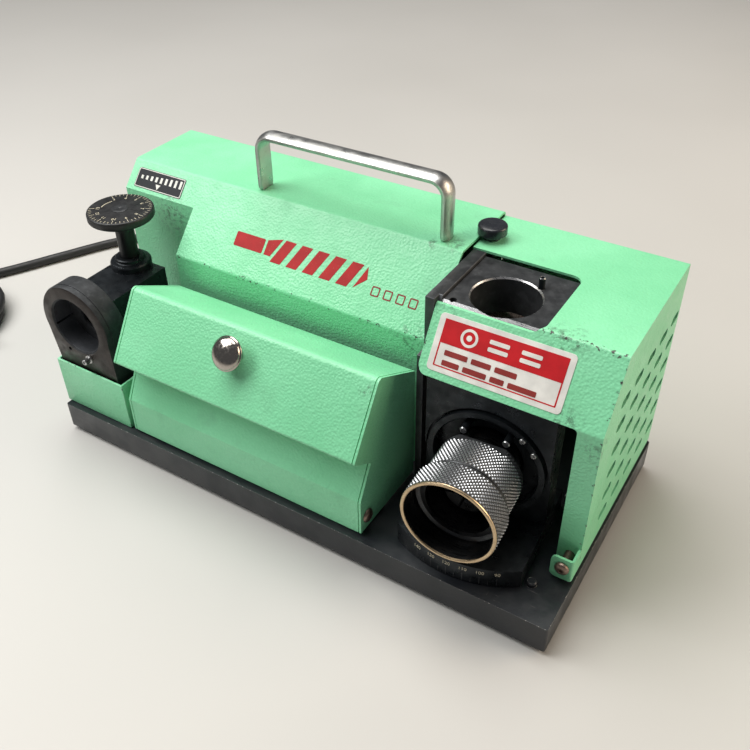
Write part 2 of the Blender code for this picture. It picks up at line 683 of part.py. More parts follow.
def port_swivel(frame):
    half = SECTOR_HALF_WIDTH
    edge = atan2(-(SECTOR_RADIUS**2 - half**2) ** 0.5, half) * 180 / pi
    outline = [(half, 9 * MM), (-half, 9 * MM)] + arc(0, 0, SECTOR_RADIUS, -180 - edge, edge, 14)
    sector = prism(outline, "Z", DECK + GAP, DECK + SECTOR_HEIGHT)
    made = add("port_swivel", sector, cast_black(), parent=frame)
    half -= 0.25 * MM
    join(made, block(-half, half, UPRIGHT_FRONT, UPRIGHT_BACK, DECK + SECTOR_HEIGHT - 2 * MM, UPRIGHT_TOP))
    pad_front, pad_top = UPRIGHT_FRONT - 2.5 * MM, UPRIGHT_TOP - 0.3 * MM
    half -= 0.25 * MM
    spandrel = [(half, pad_top), (-half, pad_top), (-half, CHUCK_Z)]
    spandrel += arc(0, CHUCK_Z, half - 0.5 * MM, 180, 0, 16) + [(half, CHUCK_Z)]
    join(made, prism(spandrel, "Y", pad_front, UPRIGHT_FRONT + MM))
    axis = (0, CHUCK_Z)
    join(made, rod(LIP_OUTER, UPRIGHT_FRONT - 4 * MM, UPRIGHT_FRONT + MM, 32, "Y", axis))
    join(made, rod(22 * MM, UPRIGHT_BACK - 2 * MM, 0, 32, "Y", axis))
    bore = [
        (0, UPRIGHT_FRONT - 10 * MM), (
            LIP_INNER, UPRIGHT_FRONT - 10 * MM
        ), (LIP_INNER, UPRIGHT_FRONT + 3 * MM),
        (PORT_BORE, UPRIGHT_FRONT + 3 * MM), (PORT_BORE, 20 * MM), (0, 20 * MM),
    ]
    cut(made, turned(bore, 36, "Y", (0, 0, CHUCK_Z)))
    cut(made, rod(4.3 * MM, DECK - 5 * MM, DECK + SECTOR_HEIGHT + 4 * MM, 16, "Z", (0, 0)))
    pin_holes = [
        rod(PIN_RADIUS + GAP, UPRIGHT_FRONT + MM, UPRIGHT_BACK - 2 * MM, 12, "Y", (x, CHUCK_Z + PIN_Z))
        for x in (-PIN_X, PIN_X)
    ]
    cut(made, merged(pin_holes))


def port_pins(frame):
    for side, x in (("left", -PIN_X), ("right", PIN_X)):
        profile = [
            (0, -BODY_REAR + GAP), (
                PIN_RADIUS - 0.4 * MM, -BODY_REAR + GAP
            ), (PIN_RADIUS, -BODY_REAR + 0.8 * MM),
            (PIN_RADIUS, UPRIGHT_BACK - 2.5 * MM), (0, UPRIGHT_BACK - 2.5 * MM),
        ]
        add(
            f"cam_pin_{side}", turned(profile, 10, "Y", (x, 0, CHUCK_Z + PIN_Z)), steel(), smooth=True,
            parent=frame,
        )


def swivel_hardware():
    head = DECK + SECTOR_HEIGHT + GAP
    profile = [
        (0, DECK - 11 * MM), (4 * MM, DECK - 11 * MM), (4 * MM, head), (7.5 * MM, head),
        (7.5 * MM, head + 3.6 * MM), (6.9 * MM, head + 4.2 * MM), (0, head + 4.2 * MM),
    ]
    add("swivel_pivot", turned(profile, 16, "Z", (SWIVEL_X, SWIVEL_Y, 0)), steel(), smooth=True)


def chuck(frame):
    """Guide sleeve, knurled body, knurled nut and collet on the port's axis."""
    place = (0, 0, CHUCK_Z)
    origin = (0, -BODY_REAR, CHUCK_Z)
    tail, bore = 3 * MM, 13.4 * MM
    rear = -BODY_REAR + GAP
    sleeve = [
        (bore, tail), (SLEEVE_RADIUS - 0.6 * MM, tail), (SLEEVE_RADIUS, tail - MM), (SLEEVE_RADIUS, rear),
        (bore, rear),
    ]
    add("chuck_sleeve", turned(sleeve, 28, "Y", place), steel(), origin=origin, smooth=True, parent=frame)
    throat, spigot = 15.4 * MM, NUT_BORE - 2.3 * MM
    seat = -BODY_FRONT + 6 * MM
    body = [
        (bore, -BODY_REAR), (BODY_RADIUS - 0.6 * MM, -BODY_REAR), (BODY_RADIUS, -BODY_REAR - 0.6 * MM),
        (BODY_RADIUS, -BODY_FRONT + 1.2 * MM), (BODY_RADIUS - 0.8 * MM, -BODY_FRONT), (spigot, -BODY_FRONT),
        (spigot, -NUT_REAR - 4 * MM), (
            throat + 2 * MM, -NUT_REAR - 4 * MM
        ), (throat, seat), (bore, seat + 4 * MM),
    ]
    made = add(
        "chuck_body", turned(body, 36, "Y", place), steel(), origin=origin, smooth=True, parent=frame
    )
    flat = block(
        -30 * MM, 30 * MM, -BODY_REAR - 4.5 * MM, -BODY_REAR + 5 * MM, CHUCK_Z + 18 * MM, CHUCK_Z + 40 * MM
    )
    cut(made, flat)
    nut = [
        (NUT_BORE - 2 * MM, -NUT_REAR), (
            NUT_RADIUS - 0.8 * MM, -NUT_REAR
        ), (NUT_RADIUS, -NUT_REAR - 0.8 * MM),
        (
            NUT_RADIUS, -NUT_FRONT + 0.6 * MM
        ), (NUT_RADIUS - 0.6 * MM, -NUT_FRONT), (NUT_BORE + 0.5 * MM, -NUT_FRONT),
        (NUT_BORE, -NUT_FRONT + 0.6 * MM), (NUT_BORE, -NUT_REAR - 4 * MM), (
            NUT_BORE - 2 * MM, -NUT_REAR - 3 * MM
        ),
    ]
    nut_origin = (0, -NUT_REAR, CHUCK_Z)
    add("chuck_nut", turned(nut, 36, "Y", place), steel(), origin=nut_origin, smooth=True, parent=frame)
    grip, hole = bore - GAP, 5 * MM
    collet = [
        (hole, 2 * MM), (grip - 3 * MM, 2 * MM), (grip, -6 * MM), (grip, seat + 5 * MM), (
            grip - 2 * MM, seat - 2 * MM
        ),
        (hole + MM, seat - 2 * MM), (hole, seat),
    ]
    made = add("collet", turned(collet, 20, "Y", place), steel(), origin=origin, smooth=True, parent=frame)
    return made


# ------------------------------------------------------------------ motor and wheel
def motor():
    axis = (SHAFT_Y, SHAFT_Z)
    shell = [
        (MOTOR_RADIUS - 2.4 * MM, 79 * MM), (MOTOR_RADIUS, 79 * MM), (MOTOR_RADIUS, 185 * MM),
        (MOTOR_RADIUS - 2.4 * MM, 185 * MM),
    ]
    add("motor_shell", turned(shell, 24, "X", (0, *axis)), cast_black())
    core = MOTOR_RADIUS - 2.4 * MM - GAP
    add("stator_core", ring(21 * MM, core, 98 * MM, 166 * MM, 24, "X", axis), steel())
    bearing, seat = 11 * MM, 11 * MM + GAP
    left = [
        (7 * MM, 60 * MM), (20 * MM, 60 * MM), (MOTOR_RADIUS, 68 * MM), (MOTOR_RADIUS, 79 * MM - GAP),
        (
            MOTOR_RADIUS - 4 * MM, 79 * MM - GAP
        ), (MOTOR_RADIUS - 4 * MM, 72 * MM), (seat, 72 * MM), (seat, 63 * MM), (7 * MM, 63 * MM),
    ]
    add("motor_end_left", turned(left, 20, "X", (0, *axis)), cast_black())
    flange = BULKHEAD_LEFT - GAP
    right = [
        (7 * MM, 205 * MM), (7 * MM, 202 * MM), (seat, 202 * MM), (seat, 193 * MM), (
            MOTOR_RADIUS - 4 * MM, 193 * MM
        ),
        (MOTOR_RADIUS - 4 * MM, 185 * MM + GAP), (MOTOR_RADIUS, 185 * MM + GAP), (MOTOR_RADIUS, 204 * MM),
        (30 * MM, 208 * MM), (30 * MM, flange), (24 * MM, flange), (24 * MM, 205 * MM),
    ]
    add("motor_end_right", turned(right, 20, "X", (0, *axis)), cast_black())
    add("bearing_left", ring(SHAFT_RADIUS + GAP, bearing, 63.4 * MM, 71 * MM, 14, "X", axis), steel())
    add("bearing_right", ring(SHAFT_RADIUS + GAP, bearing, 194 * MM, 201.6 * MM, 14, "X", axis), steel())
    rotor = [
        (0, 48 * MM), (
            SHAFT_RADIUS, 48 * MM
        ), (SHAFT_RADIUS, 96 * MM), (20.2 * MM, 96 * MM), (20.2 * MM, 168 * MM),
        (SHAFT_RADIUS, 168 * MM), (SHAFT_RADIUS, 268 * MM), (0, 268 * MM),
    ]
    spin = (100 * MM, *axis)
    add("rotor_shaft", turned(rotor, 18, "X", (0, *axis)), steel(), origin=spin, smooth=True)


def cooling_fan():
    inner, hub, tip = SHAFT_RADIUS + GAP, 10 * MM, 29 * MM
    made = add("cooling_fan", ring(inner, hub, 50 * MM, 58 * MM, 14, "X", (SHAFT_Y, SHAFT_Z)), black_paint(),
               origin=(54 * MM, SHAFT_Y, SHAFT_Z))
    blades = 6
    for number in range(blades):
        blade = block(51 * MM, 57.6 * MM, -0.8 * MM, 0.8 * MM, hub - 1.5 * MM, tip)
        bmesh.ops.rotate(blade, verts=blade.verts, matrix=Matrix.Rotation(2 * pi * number / blades, 3, "X"))
        join(made, moved(blade, (0, SHAFT_Y, SHAFT_Z)))


def motor_cradle():
    foot, waist = 30 * MM, 24 * MM
    outline = [(SHAFT_Y - foot, DECK + GAP), (SHAFT_Y + foot, DECK + GAP), (SHAFT_Y + foot, DECK + 5 * MM)]
    outline += [
        (SHAFT_Y + waist, DECK + 24 * MM), (SHAFT_Y - waist, DECK + 24 * MM),
        (SHAFT_Y - foot, DECK + 5 * MM),
    ]
    made = add("motor_cradle", prism(outline, "X", 92 * MM, 172 * MM), cast_black())
    cut(made, rod(MOTOR_RADIUS + GAP, 80 * MM, 185 * MM, 24, "X", (SHAFT_Y, SHAFT_Z)))


def grinding_wheel():
    axis = (0, SHAFT_Y, SHAFT_Z)
    bore = 12.4 * MM
    hub = [
        (
            SHAFT_RADIUS + GAP, 225 * MM
        ), (16 * MM, 225 * MM), (16 * MM, WHEEL_LEFT - GAP), (12 * MM, WHEEL_LEFT - GAP),
        (12 * MM, 246 * MM), (SHAFT_RADIUS + GAP, 246 * MM),
    ]
    origin = (WHEEL_RIM, SHAFT_Y, SHAFT_Z)
    add("wheel_hub", turned(hub, 18, "X", axis), steel(), origin=origin, smooth=True)
    wheel = [
        (bore, WHEEL_LEFT), (
            WHEEL_RADIUS - MM, WHEEL_LEFT
        ), (WHEEL_RADIUS, WHEEL_LEFT + MM), (WHEEL_RADIUS, WHEEL_RIM),
        (WHEEL_NOSE_RADIUS, WHEEL_NOSE), (21 * MM, WHEEL_NOSE), (21 * MM, 247 * MM), (bore, 247 * MM),
    ]
    grit = material("grit", (0.55, 0.42, 0.38), 0.9)
    add("grinding_wheel", turned(wheel, 32, "X", axis), grit, origin=origin, smooth=True)
    hexagon = arc(SHAFT_Y, SHAFT_Z, 11 * MM, 0, 300, 5)
    nut = add("wheel_nut", prism(hexagon, "X", 247.4 * MM, 256 * MM), steel(), origin=origin)
    cut(nut, rod(SHAFT_RADIUS + GAP, 240 * MM, 262 * MM, 14, "X", (SHAFT_Y, SHAFT_Z)))


def run_capacitor():
    x, y, z = 22 * MM, 116 * MM, DECK + 14 * MM + GAP
    profile = [
        (0, -20 * MM), (13 * MM, -20 * MM), (14 * MM, -19 * MM), (14 * MM, 19 * MM), (13 * MM, 20 * MM),
        (0, 20 * MM),
    ]
    add(
        "run_capacitor", turned(profile, 18, "Y", (x, y, z)), material("can", (0.75, 0.75, 0.72), 0.4),
        smooth=True,
    )


# ------------------------------------------------------------------ collet door
def door_outline():
    """Y-Z outline: roof, sloped front, finger return under it, lower slope and skirt."""
    back, roof_back_z = 57.7 * MM, DECK + 72.7 * MM
    bottom = DECK + 2.2 * MM
    return [
        (3.6 * MM, bottom), (back, bottom), (back, roof_back_z), (24 * MM, DECK + 91 * MM), (
            -0.5 * MM, DECK + 53.9 * MM
        ),
        (14.5 * MM, DECK + 43.8 * MM), (3.9 * MM, DECK + 24.4 * MM),
    ]


def collet_door():
    outline = door_outline()
    radii = [0, 0, 0, 3.2 * MM, 1.4 * MM, 1.2 * MM, 1.6 * MM]
    origin = ((DOOR_LEFT + DOOR_RIGHT) / 2, DOOR_PIVOT_Y, DOOR_PIVOT_Z)
    made = add(
        "collet_door", prism(rounded(outline, radii, 3), "X", DOOR_LEFT, DOOR_RIGHT), green_paint(),
        origin=origin,
    )
    inner = offset(outline, SHEET)
    floor, back = DECK - 5 * MM, 70 * MM
    roof = outline[2][1] - (back - outline[2][0]) * (
        outline[3][1] - outline[2][1]
    ) / (outline[2][0] - outline[3][0])
    inner[0], inner[1], inner[2] = (inner[0][0], floor), (back, floor), (back, roof - SHEET * 1.14)
    radii = [0, 0, 0, 1.9 * MM, 0.3 * MM, 2.4 * MM, 0.4 * MM]
    cut(made, prism(rounded(inner, radii, 3), "X", DOOR_LEFT + SHEET, DOOR_RIGHT - SHEET))
    pivot = (DOOR_PIVOT_Y, DOOR_PIVOT_Z)
    cut(made, rod(2.4 * MM, DOOR_LEFT - 5 * MM, DOOR_LEFT + 5 * MM, 14, "X", pivot))
    cut(made, rod(2.4 * MM, DOOR_RIGHT - 5 * MM, DOOR_RIGHT + 5 * MM, 14, "X", pivot))
    return made


def door_knob():
    """Mushroom knob square to the door's sloped front."""
    top, low = Vector((24, 91)) * MM, Vector((-0.5, 53.9)) * MM
    along = (top - low).normalized()
    outward = Vector((-along.y, along.x))
    foot = low + along * 30 * MM
    profile = [
        (0, GAP), (4.6 * MM, GAP), (3.8 * MM, 1.6 * MM), (4.2 * MM, 4 * MM), (8.4 * MM, 6 * MM),
        (
            DOOR_KNOB_RADIUS, 7.2 * MM
        ), (DOOR_KNOB_RADIUS, 8 * MM), (8 * MM, 9.4 * MM), (4.4 * MM, 10.6 * MM), (0, 11 * MM),
    ]
    knob = turned(profile, 20)
    tilt = atan2(outward.y, -outward.x)
    bmesh.ops.rotate(knob, verts=knob.verts, matrix=Matrix.Rotation(pi / 2 - tilt, 3, "X"))
    place = (DOOR_KNOB_X, foot.x, DECK + foot.y)
    add("door_knob", moved(knob, place), steel(), origin=place, smooth=True)


def door_hardware():
    """Pivot screws of the door and the brackets that they screw into."""
    y, z = DOOR_PIVOT_Y, DOOR_PIVOT_Z
    arm = 4 * MM
    leg_front, leg_back = y + 12 * MM, y + 19 * MM
    outline = [(leg_front, DECK + GAP), (leg_back, DECK + GAP), (leg_back, z + arm)]
    outline += arc(y, z, arm, 90, 270, 6) + [(leg_front, z - arm)]
    for side, face, inward in (("left", DOOR_LEFT, 1), ("right", DOOR_RIGHT, -1)):
        profile = [
            (0, -2.3 * MM), (2.4 * MM, -2.2 * MM), (3.8 * MM, -1.2 * MM), (4 * MM, -GAP), (2 * MM, -GAP),
            (2 * MM, 8 * MM), (0, 8 * MM),
        ]
        screw = [(radius, height * inward) for radius, height in profile]
        add(f"door_screw_{side}", turned(screw, 12, "X", (face, y, z)), steel(), smooth=True)
        near = face + inward * (SHEET + GAP)
        far = near + inward * 4 * MM
        bracket = prism(outline, "X", min(near, far), max(near, far))
        bracket = add(f"door_bracket_{side}", bracket, steel())
        cut(bracket, rod(2.3 * MM, min(near, far) - MM, max(near, far) + MM, 14, "X", (y, z)))


def collet_rack():
    made = add(
        "collet_rack", block(72 * MM, 198 * MM, 30 * MM, 52 * MM, DECK + GAP, DECK + 16 * MM), black_paint()
    )
    spots = [(84 + 34 * number) * MM for number in range(4)]
    cut(made, merged([rod(8 * MM, DECK + 4 * MM, DECK + 20 * MM, 14, "Z", (x, 41 * MM)) for x in spots]))
    for number, x in enumerate(spots[:SPARE_COLLETS], start=1):
        hole = (1.6 + number) * MM
        low, top = DECK + 4.3 * MM, DECK + 34 * MM
        profile = [
            (hole, low), (6.4 * MM, low), (7.6 * MM, low + 4 * MM), (7.6 * MM, top - 6 * MM),
            (9.4 * MM, top - 3 * MM), (8 * MM, top), (hole, top),
        ]
        add(f"spare_collet_{number}", turned(profile, 14, "Z", (x, 41 * MM, 0)), steel(), smooth=True)


# ------------------------------------------------------------------ setting gauge
def gauge_cover():
    left, right, front, back = -1.6 * MM, 51.6 * MM, 3.8 * MM, 62 * MM
    low, top = DECK + GAP, DECK + 32.2 * MM
    made = add("gauge_cover", block(left, right, front, back, low, top), green_paint())
    cut(made, block(left + SHEET, right - SHEET, front + SHEET, back + 5 * MM, low - 5 * MM, top + 5 * MM))


def setting_socket():
    axis = (SOCKET_X, SOCKET_Z)
    foot = DECK + GAP
    skirt = [
        (SKIRT_LEFT, foot),
        (SKIRT_RIGHT, foot),
        (SKIRT_RIGHT, DECK + 34 * MM),
        (SOCKET_X + SOCKET_OUTER - 0.8 * MM, SOCKET_Z),
        (SOCKET_X - SOCKET_OUTER + 0.8 * MM, SOCKET_Z),
        (SKIRT_LEFT, DECK + 34 * MM),
    ]
    front, back = SOCKET_FRONT, SOCKET_BACK
    chamfer = 1.6 * MM
    profile = [
        (0, front),
        (SOCKET_OUTER - chamfer, front),
        (SOCKET_OUTER, front + chamfer),
        (SOCKET_OUTER, back - 0.6 * MM),
        (SOCKET_OUTER - 0.6 * MM, back),
        (0, back),
    ]
    made = add("setting_socket", turned(profile, 36, "Y", (SOCKET_X, 0, SOCKET_Z)), cast_black())
    join(made, prism(skirt, "Y", front + 0.25 * MM, back - 0.8 * MM))
    cut(made, rod(SOCKET_BORE, front - 5 * MM, back + 5 * MM, 32, "Y", axis))


def gauge_block():
    left, right = 6.4 * MM, 37 * MM
    front, back = SOCKET_BACK + GAP, HOUSING_LOW_BEND_Y
    made = add("gauge_block", block(left, right, front, back, DECK + GAP, GAUGE_TOP), cast_black())
    boss = [
        (0, GAUGE_TOP - MM), (12.2 * MM, GAUGE_TOP - MM), (12.2 * MM, GAUGE_TOP + 3.4 * MM),
        (11 * MM, GAUGE_TOP + 4.6 * MM), (0, GAUGE_TOP + 4.6 * MM),
    ]
    join(made, turned(boss, 24, "Z", (DIAL_X, DIAL_Y, 0)))
    stop = (SOCKET_X, SOCKET_Z)
    cut(made, rod(6.3 * MM, front - 5 * MM, 52 * MM, 20, "Y", stop))
    cut(made, rod(5.8 * MM, GAUGE_TOP - 14 * MM, GAUGE_TOP + 10 * MM, 24, "Z", (DIAL_X, DIAL_Y)))


def setting_dial():
    low = GAUGE_TOP - 13 * MM
    disc_low = DIAL_TOP - DIAL_THICKNESS
    profile = [
        (0, low), (5.5 * MM, low), (5.5 * MM, disc_low), (
            DIAL_RADIUS - 1.4 * MM, disc_low
        ), (DIAL_RADIUS, disc_low + 1.2 * MM),
        (DIAL_RADIUS, DIAL_TOP - 0.8 * MM), (DIAL_RADIUS - 0.8 * MM, DIAL_TOP), (0, DIAL_TOP),
    ]
    origin = (DIAL_X, DIAL_Y, DIAL_TOP)
    add(
        "setting_dial", turned(profile, 32, "Z", (DIAL_X, DIAL_Y, 0)), black_paint(), origin=origin,
        smooth=True,
    )


def depth_stop():
    front, back = 31 * MM, 48 * MM
    profile = [
        (0, front), (3 * MM, front), (4.4 * MM, front + 1.4 * MM), (6 * MM, front + 2 * MM), (6 * MM, back),
        (0, back),
    ]
    place = (SOCKET_X, 0, SOCKET_Z)
    add(
        "depth_stop", turned(profile, 14, "Y", place), steel(), origin=(SOCKET_X, front, SOCKET_Z),
        smooth=True,
    )


def socket_screw():
    """Clamp screw in the face of the ring, under its bore."""
    angle, reach = radians(-75), (SOCKET_OUTER + SOCKET_BORE) / 2
    x, z = SOCKET_X + reach * cos(angle), SOCKET_Z + reach * sin(angle)
    front = SOCKET_FRONT - GAP
    profile = [
        (0, front - 1.4 * MM), (2 * MM, front - 1.4 * MM), (2.6 * MM, front - 0.9 * MM), (2.6 * MM, front),
        (0, front),
    ]
    add("socket_screw", turned(profile, 12, "Y", (x, 0, z)), steel(), smooth=True)


# ------------------------------------------------------------------ mains lead
def catmull(points, spacing):
    """Evenly spaced points on a smooth curve through the given ones."""
    ends = [2 * points[0] - points[1], *points, 2 * points[-1] - points[-2]]
    dense = []
    for index in range(len(points) - 1):
        p0, p1, p2, p3 = ends[index : index + 4]
        for step in range(24):
            t = step / 24
            a = 2 * p1 + (p2 - p0) * t
            b = (2 * p0 - 5 * p1 + 4 * p2 - p3) * t * t
            c = (3 * p1 - p0 - 3 * p2 + p3) * t**3
            dense.append((a + b + c) / 2)
    dense.append(points[-1])
    picked, run = [dense[0]], 0.0
    for before, after in zip(dense, dense[1:]):
        run += (after - before).length
        if run >= spacing:
            picked.append(after)
            run = 0.0
    picked[-1] = dense[-1]
    return picked


def mains_lead():
    """Free cord from the strain relief's tip down to the floor, back round the left end, and
    into the side of its coil."""
    x, y, z = CORD_EXIT
    low = CORD_RADIUS
    reach = 30 * MM
    along = (-CORD_LAY[1], CORD_LAY[0])
    touch = COIL_MEAN_RADIUS + 5 * MM
    end = (
        COIL_X - touch * along[0] - reach * CORD_LAY[0], COIL_Y - touch * along[1] - reach * CORD_LAY[1],
        low,
    )
    route = [
        (x, y + RELIEF_LENGTH + GAP, z), (29 * MM, 191 * MM, z - 4 * MM), (24 * MM, 207 * MM, z - 16 * MM),
        (9 * MM, 223 * MM, low + 3.5 * MM), (-14 * MM, 234 * MM, low), (-50 * MM, 238 * MM, low),
        (-88 * MM, 229 * MM, low), (-121 * MM, 209 * MM, low), (-145 * MM, 181 * MM, low),
        (-165 * MM, 144 * MM, low), (-184 * MM, 107 * MM, low), end,
    ]
    curve = bpy.data.curves.new("cord_lead", "CURVE")
    curve.dimensions = "3D"
    curve.bevel_depth = CORD_RADIUS
    curve.bevel_resolution = 2
    curve.use_fill_caps = True
    points = catmull([Vector(point) for point in route], 10 * MM)
    spline = curve.splines.new("POLY")
    spline.points.add(len(points) - 1)
    for target, point in zip(spline.points, points):
        target.co = (*point, 1.0)
    made = bpy.data.objects.new("cord_lead", curve)
    made.data.materials.append(rubber())
    bpy.context.scene.collection.objects.link(made)
    made.parent = bench


def cord_coil():
    across, low, high = 3 * 2 * CORD_RADIUS, 0.0, 2 * 2 * CORD_RADIUS
    inner, outer = COIL_MEAN_RADIUS - across / 2, COIL_MEAN_RADIUS + across / 2
    soft = 2.5 * MM
    profile = [
        (inner, low + soft), (inner + soft, low), (outer - soft, low), (outer, low + soft),
        (outer, high - soft), (outer - soft, high), (inner + soft, high), (inner, high - soft),
    ]
    add("cord_coil", turned(profile, 28, "Z", (COIL_X, COIL_Y, 0)), rubber())


def mains_plug():
    """Flat two-blade plug with a tapered grip, lying beside the coil with its cord end up-bench."""
    x, y = COIL_X - COIL_MEAN_RADIUS - 6.5 * MM, COIL_Y - 31 * MM
    half = 8.5 * MM
    right = [(5.5 * MM, 0), (9.5 * MM, -24 * MM), (12 * MM, -30 * MM), (12 * MM, -38 * MM)]
    outline = [(x - dx, y + dy) for dx, dy in right] + [(x + dx, y + dy) for dx, dy in reversed(right)]
    made = add("mains_plug", prism(outline, "Z", 0, 2 * half), rubber())
    face = y - 38 * MM
    for side in (-1, 1):
        centre = x + side * 6.35 * MM
        blade = block(
            centre - 0.75 * MM, centre + 0.75 * MM, face - 17 * MM, face + 2 * MM, half - 3.2 * MM,
            half + 3.2 * MM,
        )
        join(made, blade)


def strain_relief():
    x, y, z = CORD_EXIT
    bore = CORD_RADIUS + GAP
    profile = [
        (bore, -6 * MM), (5.9 * MM, -6 * MM), (5.9 * MM, 0), (8 * MM, 0), (8 * MM, 3 * MM),
        (6.4 * MM, 4.4 * MM), (4.9 * MM, RELIEF_LENGTH), (bore, RELIEF_LENGTH),
    ]
    add("strain_relief", turned(profile, 14, "Y", (x, y, z)), rubber(), smooth=True)


# ------------------------------------------------------------------ assembly
CORD_PIECES = ("cord_lead", "cord_coil", "mains_plug", "strain_relief")


def centre_on_footprint():
    """Put the origin at the bottom centre of the machine, its free cord left out."""
    bpy.context.view_layer.update()
    graph = bpy.context.evaluated_depsgraph_get()
    low, high = Vector((1e9,) * 3), Vector((-1e9,) * 3)
    for piece in bpy.data.objects:
        if piece.type != "MESH" or piece.hide_render or piece.name in CORD_PIECES:
            continue
        evaluated = piece.evaluated_get(graph)
        for corner in evaluated.bound_box:
            point = piece.matrix_world @ Vector(corner)
            low = Vector(map(min, low, point))
            high = Vector(map(max, high, point))
    bench.location = (-(low.x + high.x) / 2, -(low.y + high.y) / 2, -low.z)
    bpy.context.view_layer.update()


def main():
    base_plate()
    feet()
    main_housing()
    power_switch()
    right_cover()
    hinge_hardware()
    cover_knob()
    knob_bracket()
    handle()
    bulkhead()
    top_port()
    frame = port_frame()
    port_swivel(frame)
    port_pins(frame)
    swivel_hardware()
    chuck(frame)
    motor()
    cooling_fan()
    motor_cradle()
    grinding_wheel()
    run_capacitor()
    collet_door()
    door_knob()
    door_hardware()
    collet_rack()
    gauge_cover()
    setting_socket()
    gauge_block()
    setting_dial()
    depth_stop()
    socket_screw()
    strain_relief()
    mains_lead()
    cord_coil()
    mains_plug()
    centre_on_footprint()


main()
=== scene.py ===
from math import atan2, cos, hypot, pi, radians, sin, sqrt, tan

import bmesh
import bpy
from mathutils import Matrix, Vector


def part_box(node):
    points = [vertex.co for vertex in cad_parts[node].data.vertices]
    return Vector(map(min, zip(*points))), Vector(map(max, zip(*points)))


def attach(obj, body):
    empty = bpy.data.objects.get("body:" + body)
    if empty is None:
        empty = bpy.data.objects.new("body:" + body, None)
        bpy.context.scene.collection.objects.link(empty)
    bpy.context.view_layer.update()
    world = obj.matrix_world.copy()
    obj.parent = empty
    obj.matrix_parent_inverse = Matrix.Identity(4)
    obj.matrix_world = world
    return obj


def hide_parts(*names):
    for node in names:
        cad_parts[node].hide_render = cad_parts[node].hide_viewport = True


# Looks of a bench drill bit sharpener. Every shape is laid out in millimetres on the bench frame:
# X = 0 at the base plate's left end, Y = 0 at its front edge, Z = 0 where the feet stand.

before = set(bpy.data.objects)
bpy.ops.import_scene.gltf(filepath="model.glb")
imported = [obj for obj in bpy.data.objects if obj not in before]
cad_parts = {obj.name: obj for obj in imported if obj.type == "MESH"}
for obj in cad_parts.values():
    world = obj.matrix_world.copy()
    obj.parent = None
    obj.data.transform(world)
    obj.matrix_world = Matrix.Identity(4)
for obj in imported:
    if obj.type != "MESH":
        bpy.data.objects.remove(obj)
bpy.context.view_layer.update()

MM = 0.001
FOOT = 3.0
DECK = 20.0
SHEET = 1.3
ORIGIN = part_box("base_plate")[0] - Vector((0, 0, FOOT * MM))
BENCH = Matrix.Translation(ORIGIN) @ Matrix.Scale(MM, 4)
SIDES = 96  # segments of a large turned part
CHUCK_Z = 64.5
SWIVEL = (262, 66)
PORT = Matrix.Translation((*SWIVEL, 0)) @ Matrix.Rotation(radians(3.5), 4, "Z")
KNURL_COLUMNS = 136  # twice the number of diamonds round a turn
KNURL_DEPTH = 0.6
HEX = (0, 300, 5)  # arc of a hexagon socket: from, to, steps

# Centres that several pieces share
CORD_EXIT = (30, 34)  # X, Z in the housing's back
CORD_START = (30, 177, 34)
HINGE = (313.6, 30)  # X, Z of the cover's rod
DOOR_PIVOT = (9.5, 31)  # Y, Z
DOOR_LEFT, DOOR_RIGHT = 55.6, 214.8
MOTOR = (0, 107, 73)
TOP_BORE = (252.3, 78.3)
THINNING_PIN = (263.3, 94.2)
COVER_KNOB = (223, 123)
DIAL = (17.5, 58.5)
DIAL_FACE = 132.3
RING_X, RING_Z = 21.4, 82.0
CAM_PINS = (("left", -11), ("right", 11))
CAM_PIN_Z = CHUCK_Z + 20.3
SECTOR_RADIUS = 61.7
scene = bpy.context.scene


# ------------------------------------------------------------------ meshes
def prism(outline, axis, start, end):
    mesh = bmesh.new()
    place = {
        "X": lambda a, b, t: (t, a, b),
        "Y": lambda a, b, t: (a, t, b),
        "Z": lambda a, b, t: (a, b, t),
    }[axis]
    face = mesh.faces.new([mesh.verts.new(place(a, b, start)) for a, b in outline])
    extruded = bmesh.ops.extrude_face_region(mesh, geom=[face])
    tops = [item for item in extruded["geom"] if isinstance(item, bmesh.types.BMVert)]
    bmesh.ops.translate(mesh, verts=tops, vec=Vector(place(0, 0, end - start)))
    bmesh.ops.recalc_face_normals(mesh, faces=mesh.faces)
    return mesh


def block(x0, x1, y0, y1, z0, z1):
    return prism([(x0, y0), (x1, y0), (x1, y1), (x0, y1)], "Z", z0, z1)


def turned(profile, segments=SIDES, axis="Z", centre=(0, 0, 0)):
    """Revolve (radius, height) points; radius 0 closes an end, and a profile without one is a ring."""
    mesh = bmesh.new()
    rows = []
    for radius, height in profile:
        if radius == 0:
            rows.append([mesh.verts.new((0, 0, height))])
            continue
        angles = [2 * pi * step / segments for step in range(segments)]
        rows.append([mesh.verts.new((radius * cos(a), radius * sin(a), height)) for a in angles])
    pairs = list(zip(rows, rows[1:]))
    if all(radius > 0 for radius, _ in profile):
        pairs.append((rows[-1], rows[0]))
    for low, high in pairs:
        for step in range(segments):
            after = (step + 1) % segments
            if len(low) == 1:
                mesh.faces.new((low[0], high[step], high[after]))
            elif len(high) == 1:
                mesh.faces.new((low[step], low[after], high[0]))
            else:
                mesh.faces.new((low[step], low[after], high[after], high[step]))
    turn = {
        "Z": Matrix.Identity(3),
        "X": Matrix.Rotation(pi / 2, 3, "Y"),
        "Y": Matrix.Rotation(-pi / 2, 3, "X"),
    }
    bmesh.ops.rotate(mesh, verts=mesh.verts, matrix=turn[axis])
    bmesh.ops.recalc_face_normals(mesh, faces=mesh.faces)
    bmesh.ops.translate(mesh, verts=mesh.verts, vec=centre)
    return mesh


